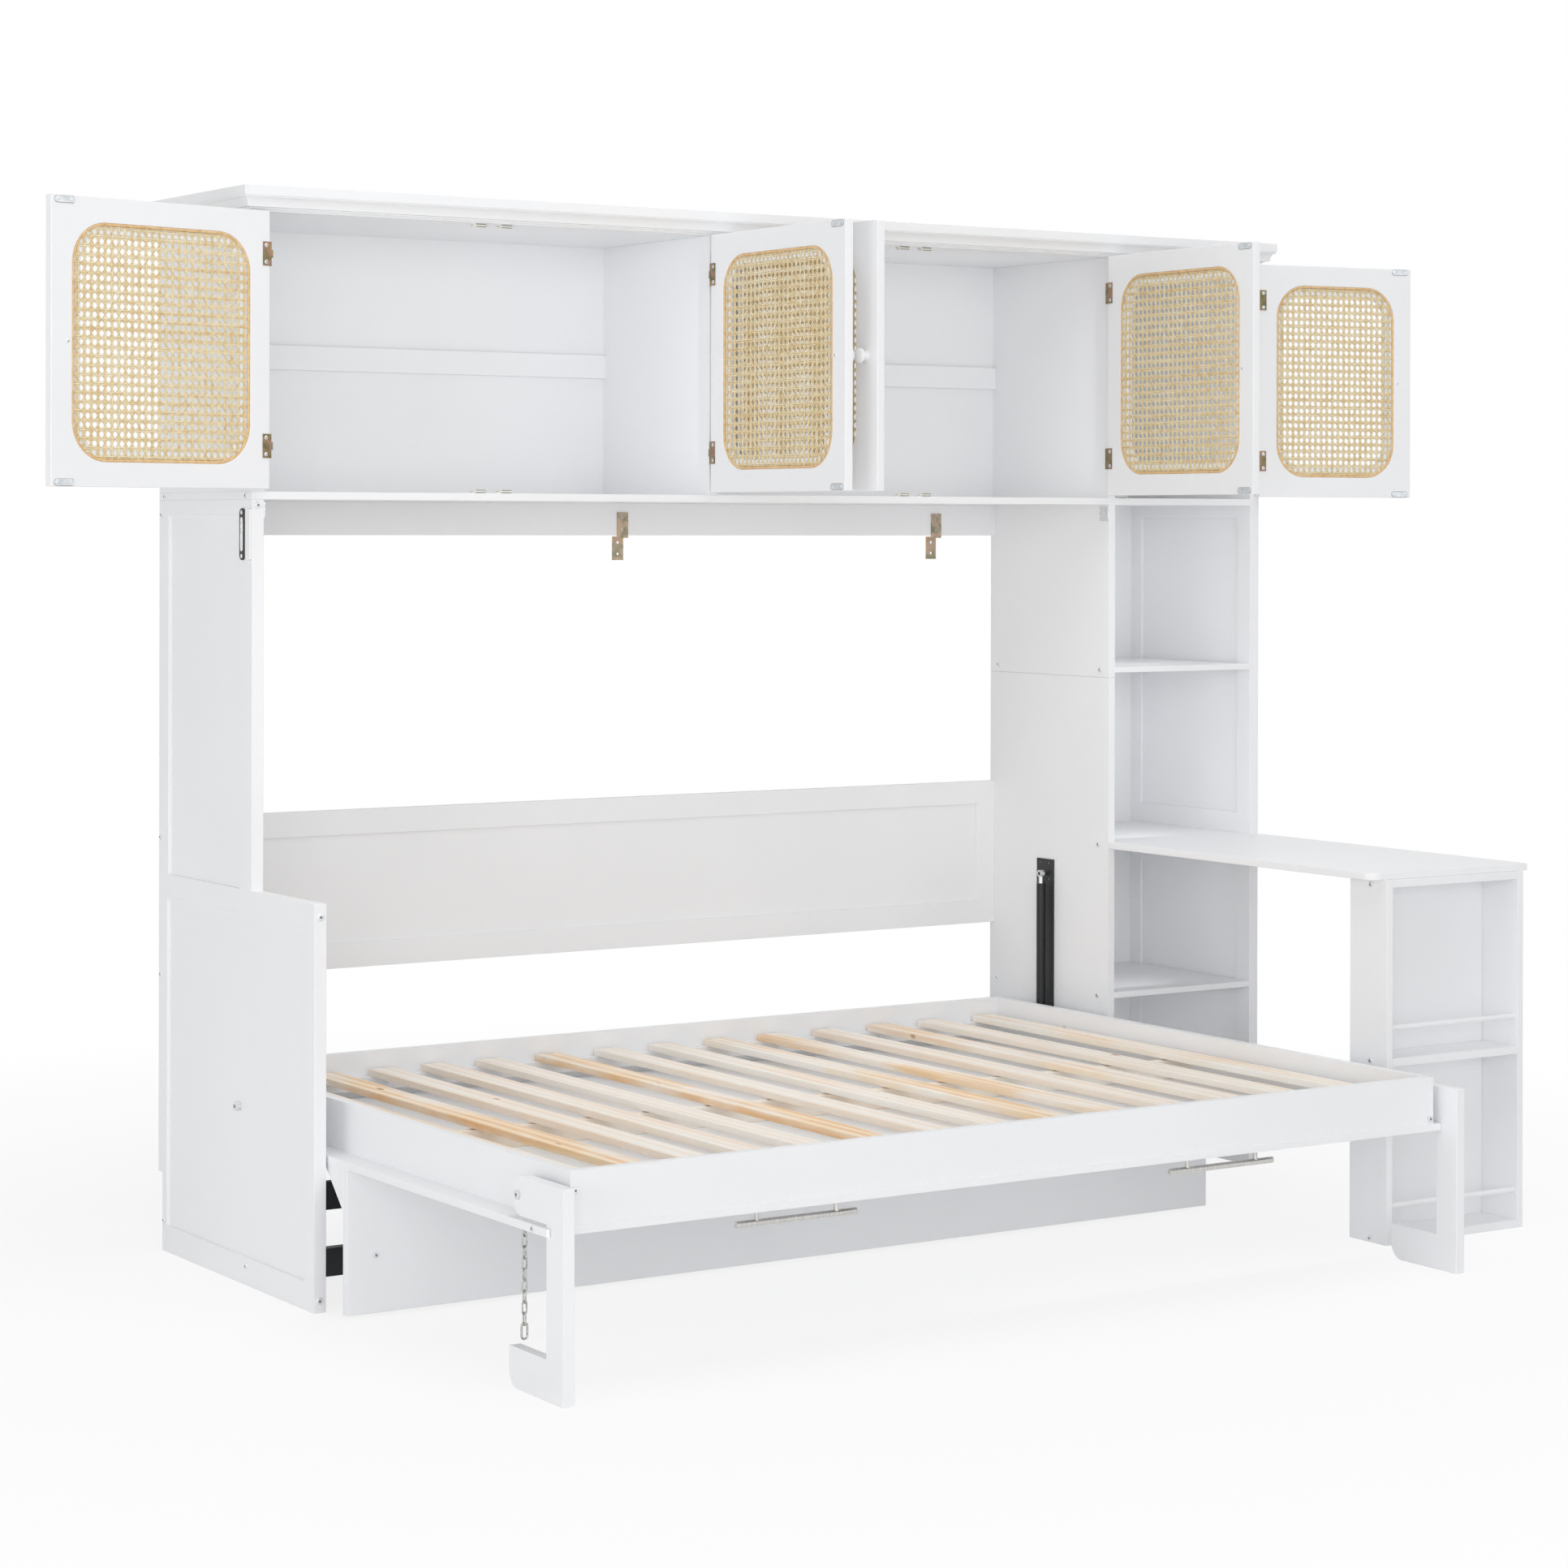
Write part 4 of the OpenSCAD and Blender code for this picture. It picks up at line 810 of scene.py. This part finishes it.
def makeCatches():
    c = catches
    housings, poles = bmesh.new(), bmesh.new()

    def put(x, z, f):
        return place(x, f, z)

    for middle in c["middleX"]:
        x0, x1 = middle - c["length"] / 2, middle + c["length"] / 2
        for seatZ, down in ((c["ceilingZ"], -1), (c["floorZ"], 1)):
            z0, z1 = sorted((seatZ, seatZ + down * c["height"]))
            front = c["frontF"]
            addPlate(housings, (x0 + c["ear"], x1 - c["ear"], z0, z1, c["edge"]),
                     [(0, c["rearF"]), (0, front - c["edge"]), (c["faceIn"], front - c["edge"] / 2)], put)
            for s in (-1, 1):
                poleZ = (z0 + z1) / 2 + s * c["poleAt"]
                addPlate(poles, (x0 + c["ear"] + c["poleIn"], x1 - c["ear"] - c["poleIn"],
                                 poleZ - c["poleH"] / 2, poleZ + c["poleH"] / 2, c["poleR"]),
                         [(0, front - c["poleOut"]), (0, front - c["poleEase"]), (c["poleEase"], front)], put)
                earX = middle + s * (c["length"] / 2 - c["ear"])
                earF = (c["rearF"] + front) / 2

                def putFlat(x, f, z):
                    return place(x, f, seatZ + down * z)

                half = c["earD"] / 2
                addPlate(housings, (earX - c["ear"], earX + c["ear"], earF - half, earF + half, c["earR"]),
                         [(0, 0), (0, c["earH"] - c["earEase"]), (c["earEase"], c["earH"])], putFlat)
                screwX = middle + s * (c["length"] / 2 - c["screwIn"])
                seat = Matrix.Translation(place(screwX, earF, seatZ + down * c["earH"]))
                if down < 0:
                    seat = seat @ Matrix.Rotation(math.pi, 4, "X")
                addScrewHead(poles, seat, c["screwR"] * mm, c["screwH"] * mm)
    piece = finishPiece("catchHousings", housings, whitePlastic, "cabinet")
    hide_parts("door_catches")
    finishPiece("catchPoles", poles, dullSteelAndCrossShade, "cabinet")


makeCatches()

# ---- the bed's lock on the left side: a bright slide over the dark bar, a pale strip beside it ----

sideLock = {
    "slide": (398.2, 408.8, 1411, 1477), "slideR": 5.2,
    "slideProfile": [(0, 3.0), (0, 4.1), (0.4, 4.4), (2.0, 4.4), (2.5, 4.1)],
    "strip": (415.7, 437.3, 1393.7, 1494.3), "stripR": 3, "stripProfile": [(0, 0), (0, 1.9), (0.5, 2.4)],
    "screws": ((403.5, 1402), (403.5, 1486)), "screwOut": 4.0, "screwR": 4.2, "screwH": 0.6,
}


def makeSideLock():
    def put(f, z, out):
        return place(-out, f, z)

    slide, strip = bmesh.new(), bmesh.new()
    addPlate(slide, (*sideLock["slide"], sideLock["slideR"]), sideLock["slideProfile"], put)
    turn = Matrix.Rotation(math.radians(-90), 4, "Y")
    for f, z in sideLock["screws"]:
        seat = Matrix.Translation(place(-sideLock["screwOut"], f, z)) @ turn
        addScrewHead(slide, seat, sideLock["screwR"] * mm, sideLock["screwH"] * mm)
    finishPiece("lockSlide", slide, zincSteel, "cabinet")
    addPlate(strip, (*sideLock["strip"], sideLock["stripR"]), sideLock["stripProfile"], put)
    finishPiece("lockStrip", strip, knobPaint, "cabinet")


makeSideLock()

# ---- bolt heads with a painted shade of a hexagon socket, over the plain heads of the solids ----

boltHeads = {
    "left": {"body": "cabinet", "outward": "-x", "radius": 5.8, "height": 2.3, "at": [
        (0, 27, 1518.5), (0, 415, 1518.5), (0, 11, 1482), (0, 10, 832), (0, 11, 556), (0, 29, 62),
        (0, 422, 37), (2081.6, 30, 1142), (2081.6, 411, 1142), (2081.6, 407, 751), (2081.6, 27, 413),
        (2081.6, 405, 413), (2117, 1262, 732), (2117, 1262, 371), (2117, 1262, 8)]},
    "front": {"body": "cabinet", "outward": "+f", "radius": 6.8, "height": 1.8, "at": [
        (12.5, 443, 1500), (13, 720, 734), (12, 720, 22)]},
    "pivot": {"body": "cabinet", "outward": "-x", "radius": 9.2, "height": 5.2, "at": [(0, 379, 339)]},
    "leg": {"body": "bed", "outward": "-x", "radius": 8.2, "height": 3.2, "at": [(35.4, 1435, 330)]},
    "ledge": {"body": "bed", "outward": "-x", "radius": 5.8, "height": 1.6, "at": [(29, 1497, 283)]},
    "rail": {"body": "bed", "outward": "+f", "radius": 5.8, "height": 3.2, "at": [
        (84.6, 1543.6, 349), (2016.6, 1543.6, 300), (88, 798, 113)]},
}
# shares of the head's radius and height, with the rim and dish of the painted socket shade in metres
boltLook = {
    "head": [(1, 0), (1, 0.5), (0.93, 0.85), (0.8, 1), (0, 1)], "segments": 32,
    "socketR": 0.42, "socketLow": 0.2, "rimM": 0.0001, "dishM": 0.00002,
}


def outwardTurn(outward):
    if outward == "-x":
        return Matrix.Rotation(math.radians(-90), 4, "Y")
    return Matrix.Rotation(math.radians(90), 4, "X")


def addBoltHead(heads, socketShadeMesh, seat, radius, height):
    # a low pan head with a rounded rim; the socket's shade is painted on as a dark hexagon cap, dished into
    # its middle and standing a hair proud of the head
    r, h = radius * mm, height * mm
    addLathe(heads, [(r * a, h * b) for a, b in boltLook["head"]], seat, boltLook["segments"])
    hexR = r * boltLook["socketR"]
    corners = [(hexR * math.cos(k * math.pi / 3), hexR * math.sin(k * math.pi / 3)) for k in range(6)]
    low, high = ([socketShadeMesh.verts.new(seat @ Vector((x, y, z))) for x, y in corners]
                 for z in (h * boltLook["socketLow"], h + boltLook["rimM"]))
    middle = socketShadeMesh.verts.new(seat @ Vector((0, 0, h + boltLook["dishM"])))
    socketShadeMesh.faces.new(reversed(low))
    joinRings(socketShadeMesh, [low, high])
    for j in range(6):
        socketShadeMesh.faces.new((high[j], high[(j + 1) % 6], middle))


def makeBoltHeads():
    for name, row in boltHeads.items():
        heads, socketShadeMesh = bmesh.new(), bmesh.new()
        turn = outwardTurn(row["outward"])
        for x, f, z in row["at"]:
            seat = Matrix.Translation(place(x, f, z)) @ turn
            addBoltHead(heads, socketShadeMesh, seat, row["radius"], row["height"])
        title = name[0].upper() + name[1:]
        finishPiece(f"boltHeads{title}", heads, zincSteel, row["body"])
        finishPiece(f"boltSocketShade{title}", socketShadeMesh, socketShadeSteel, row["body"])


makeBoltHeads()
print("catches, lock and sockets made")

# ---- slats: planed pine boards with eased edges, each with its own grain and colour ----

slatSet = {
    "bedX": 75.6, "bedL": 1950, "width": 56, "lowZ": 333, "thick": 14, "rearF": 133, "frontF": 1519.6,
    "ease": 1.6, "easeRound": 0.3, "endRun": 1.5, "endEase": 0.6, "grainShift": 3,
    "share": [0.051, 0.1179, 0.1835, 0.2461, 0.3107, 0.3835, 0.4566,
              0.5261, 0.5987, 0.6694, 0.7428, 0.8182, 0.8887, 0.9676],
    "tone": [0.4, 1.0, 0.1, 0.1, 0.0, 1.0, 0.1, 0.2, 0.85, 0.7, 0.1, 0.6, 0.1, 0.45],
}


def makeSlats():
    dice = random.Random(11)
    shape = bmesh.new()
    toneLayer = shape.verts.layers.float.new("boardTone")
    shiftLayer = shape.verts.layers.float_vector.new("boardShift")
    s = slatSet
    e, c, reach = s["ease"], s["ease"] * s["easeRound"], s["grainShift"]
    z0, z1 = s["lowZ"], s["lowZ"] + s["thick"]
    stations = ((s["rearF"], s["endEase"]), (s["rearF"] + s["endRun"], 0.0),
                (s["frontF"] - s["endRun"], 0.0), (s["frontF"], s["endEase"]))
    for k, share in enumerate(s["share"]):
        x0 = s["bedX"] + share * s["bedL"] - s["width"] / 2
        x1 = x0 + s["width"]
        outline = [(x0 + e, z0), (x1 - e, z0), (x1 - c, z0 + c), (x1, z0 + e), (x1, z1 - e), (x1 - c, z1 - c),
                   (x1 - e, z1), (x0 + e, z1), (x0 + c, z1 - c), (x0, z1 - e), (x0, z0 + e), (x0 + c, z0 + c)]
        shift = Vector([dice.uniform(-reach, reach) for axis in range(3)])
        cx, cz = (x0 + x1) / 2, (z0 + z1) / 2
        rings = []
        for f, end in stations:
            ring = []
            for x, z in outline:
                inX, inZ = x - math.copysign(end, x - cx), z - math.copysign(end, z - cz)
                vert = shape.verts.new(place(inX, f, inZ))
                vert[toneLayer] = s["tone"][k]
                vert[shiftLayer] = shift
                ring.append(vert)
            rings.append(ring)
        joinRings(shape, rings)
        capEnds(shape, rings)
    piece = finishPiece("pineSlats", shape, pineWood, "bed")
    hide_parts("bed_slats")


bearers = {
    "x0": 93.6, "x1": 2007.6, "rearF": 127, "frontF": 1507.6, "battenT": 18, "battenLowZ": 305, "topZ": 333,
    "midF": 801, "midT": 20, "midLowZ": 290, "midTopZ": 330, "ease": 1.0,
}


def addEasedBoard(shape, x0, x1, f0, f1, z0, z1, e):
    # a board along x with its long edges eased by e
    outline = [(f0 + e, z0), (f1 - e, z0), (f1, z0 + e), (f1, z1 - e), (f1 - e, z1), (f0 + e, z1),
               (f0, z1 - e), (f0, z0 + e)]
    rings = [[shape.verts.new(place(x, f, z)) for f, z in outline] for x in (x0, x1)]
    joinRings(shape, rings)
    capEnds(shape, rings)


def makeBearers():
    b = bearers
    battens = bmesh.new()
    for f in (b["rearF"], b["frontF"]):
        addEasedBoard(battens, b["x0"], b["x1"], f, f + b["battenT"], b["battenLowZ"], b["topZ"], b["ease"])
    piece = finishPiece("slatBattens", battens, paint, "bed")
    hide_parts("slat_bearers")
    middle = bmesh.new()
    addEasedBoard(middle, b["x0"], b["x1"], b["midF"], b["midF"] + b["midT"], b["midLowZ"], b["midTopZ"],
                  b["ease"])
    finishPiece("middleBearer", middle, bearerWood, "bed")


makeSlats()
makeBearers()
print("slats made")

# ---- light, floor and backdrop ----

studio = {
    "worldStrength": 0.47, "floorHalf": 30.0, "floorDrop": 0.0005, "floor": "#F4F4F4", "floorRoughness": 0.7,
    "floorGlow": 0.82, "glowEdge": (1.2, 3.2),
}
# large soft lamps: place, target and size in metres
softboxes = {
    "frontSoftbox": {"at": (-0.6, -8.0, 1.5), "aim": (0.2, 0, 1.0), "size": (7.0, 3.0), "watts": 45},
    "mainSoftbox": {"at": (-5.0, -8.7, 2.0), "aim": (0.2, -0.2, 1.0), "size": (5.2, 3.6), "watts": 160},
    "leftSoftbox": {"at": (-7.5, -2.6, 1.4), "aim": (0, -0.3, 0.9), "size": (4.0, 2.4), "watts": 92},
    "topSoftbox": {"at": (0.3, -1.6, 5.2), "aim": (0.2, -0.6, 0.5), "size": (5.0, 3.5), "watts": 78},
}
# fill in the open hollows: each box is x, f and z in millimetres, with watts per square metre of lamp
hollowFills = {
    "towerTop": {"x": (2110, 2320), "f": 400, "z": (1180, 1470), "glow": 2.9},
    "towerMiddle": {"x": (2110, 2320), "f": 400, "z": (790, 1105), "glow": 2.9},
    "towerLow": {"x": (2110, 2320), "f": 400, "z": (450, 715), "glow": 2.7},
    "towerFloor": {"x": (2110, 2320), "f": 400, "z": (80, 370), "glow": 2.2},
    "leftCupboard": {"x": (40, 1030), "f": 400, "z": (1580, 2000), "glow": 0.4},
    "middleCupboard": {"x": (1070, 2060), "f": 400, "z": (1580, 2000), "glow": 0.65},
    "underBedLeft": {"x": (150, 1000), "f": 1380, "z": (20, 240), "glow": 0.5},
    "underBedRight": {"x": (1050, 2000), "f": 1380, "z": (20, 240), "glow": 1.3},
}
bedFill = {"x": (60, 2040), "f": (560, 1150), "z": 1440, "glow": 0.9}


def seenDirectly(tree):
    # 1 for rays from the camera, and for mirrored and transmitted ones
    rays = addNode(tree, "LightPath")
    shiny = addNode(tree, "Math", {"operation": "MAXIMUM"},
                    links={0: rays.outputs["Is Glossy Ray"], 1: rays.outputs["Is Transmission Ray"]})
    return addNode(tree, "Math", {"operation": "MAXIMUM"},
                   links={0: rays.outputs["Is Camera Ray"], 1: shiny.outputs[0]}).outputs[0]


def makeWorld():
    # plain white to the eye, softer as a light
    world = bpy.data.worlds.new("studioWorld")
    bpy.context.scene.world = world
    world.use_nodes = True
    tree = world.node_tree
    tree.nodes.clear()
    soft = addNode(tree, "Background",
                   inputs={"Color": (1, 1, 1, 1), "Strength": studio["worldStrength"]})
    white = addNode(tree, "Background", inputs={"Color": (1, 1, 1, 1), "Strength": 1.0})
    mixed = addNode(tree, "MixShader",
                    links={"Fac": seenDirectly(tree), 1: soft.outputs[0], 2: white.outputs[0]})
    addNode(tree, "OutputWorld", links={"Surface": mixed.outputs[0]})


def makeLamp(name, position, target, size, watts, mirrored=True):
    data = bpy.data.lights.new(name, "AREA")
    data.shape = "RECTANGLE"
    data.size, data.size_y = size
    data.energy = watts
    lamp = bpy.data.objects.new(name, data)
    bpy.context.scene.collection.objects.link(lamp)
    lamp.visible_camera = False
    lamp.visible_glossy = mirrored
    lamp.location = position
    lamp.rotation_euler = (Vector(target) - Vector(position)).to_track_quat("-Z", "Y").to_euler()


def makeFills():
    # soft light inside the hollows and down on the slats, which a white studio gives by bounce
    for name, box in hollowFills.items():
        (x0, x1), (z0, z1) = box["x"], box["z"]
        size = ((x1 - x0) * mm, (z1 - z0) * mm)
        middle = place((x0 + x1) / 2, box["f"], (z0 + z1) / 2)
        watts = box["glow"] * size[0] * size[1]
        makeLamp(name + "Fill", middle, middle + Vector((0, 1, 0)), size, watts, mirrored=False)
    (x0, x1), (f0, f1) = bedFill["x"], bedFill["f"]
    size = ((x1 - x0) * mm, (f1 - f0) * mm)
    middle = place((x0 + x1) / 2, (f0 + f1) / 2, bedFill["z"])
    watts = bedFill["glow"] * size[0] * size[1]
    makeLamp("bedFill", middle, middle - Vector((0, 0, 1)), size, watts, mirrored=False)


def makeFloor():
    # a white floor that glows more with distance from the object, until it is as white as the background
    mesh = bpy.data.meshes.new("studioFloor")
    half = studio["floorHalf"]
    low = cadLow.z - studio["floorDrop"]
    corners = [(-half, -half, low), (half, -half, low), (half, half, low), (-half, half, low)]
    mesh.from_pydata(corners, [], [(0, 1, 2, 3)])
    floor = bpy.data.objects.new("studioFloor", mesh)
    bpy.context.scene.collection.objects.link(floor)
    material, tree, shader = startMaterial("whiteFloor", studio["floor"], studio["floorRoughness"])
    where = addNode(tree, "NewGeometry").outputs["Position"]
    away = addNode(tree, "VectorMath", {"operation": "LENGTH"}, links={0: where})
    near, far = studio["glowEdge"]
    level = addNode(tree, "MapRange", links={"Value": away.outputs["Value"]}, inputs={
        "From Min": near, "From Max": far, "To Min": studio["floorGlow"]})
    share = addNode(tree, "Math", {"operation": "MULTIPLY"},
                    links={0: seenDirectly(tree), 1: level.outputs["Result"]})
    glow = addNode(tree, "Emission", inputs={"Color": (1, 1, 1, 1), "Strength": 1.0})
    mixed = addNode(tree, "MixShader",
                    links={"Fac": share.outputs[0], 1: shader.outputs[0], 2: glow.outputs[0]})
    tree.links.new(mixed.outputs[0], tree.nodes["Material Output"].inputs["Surface"])
    mesh.materials.append(material)


makeWorld()
for name, lamp in softboxes.items():
    makeLamp(name, lamp["at"], lamp["aim"], lamp["size"], lamp["watts"])
makeFills()
makeFloor()
bpy.context.scene.view_settings.view_transform = "Standard"
print("studio lit")
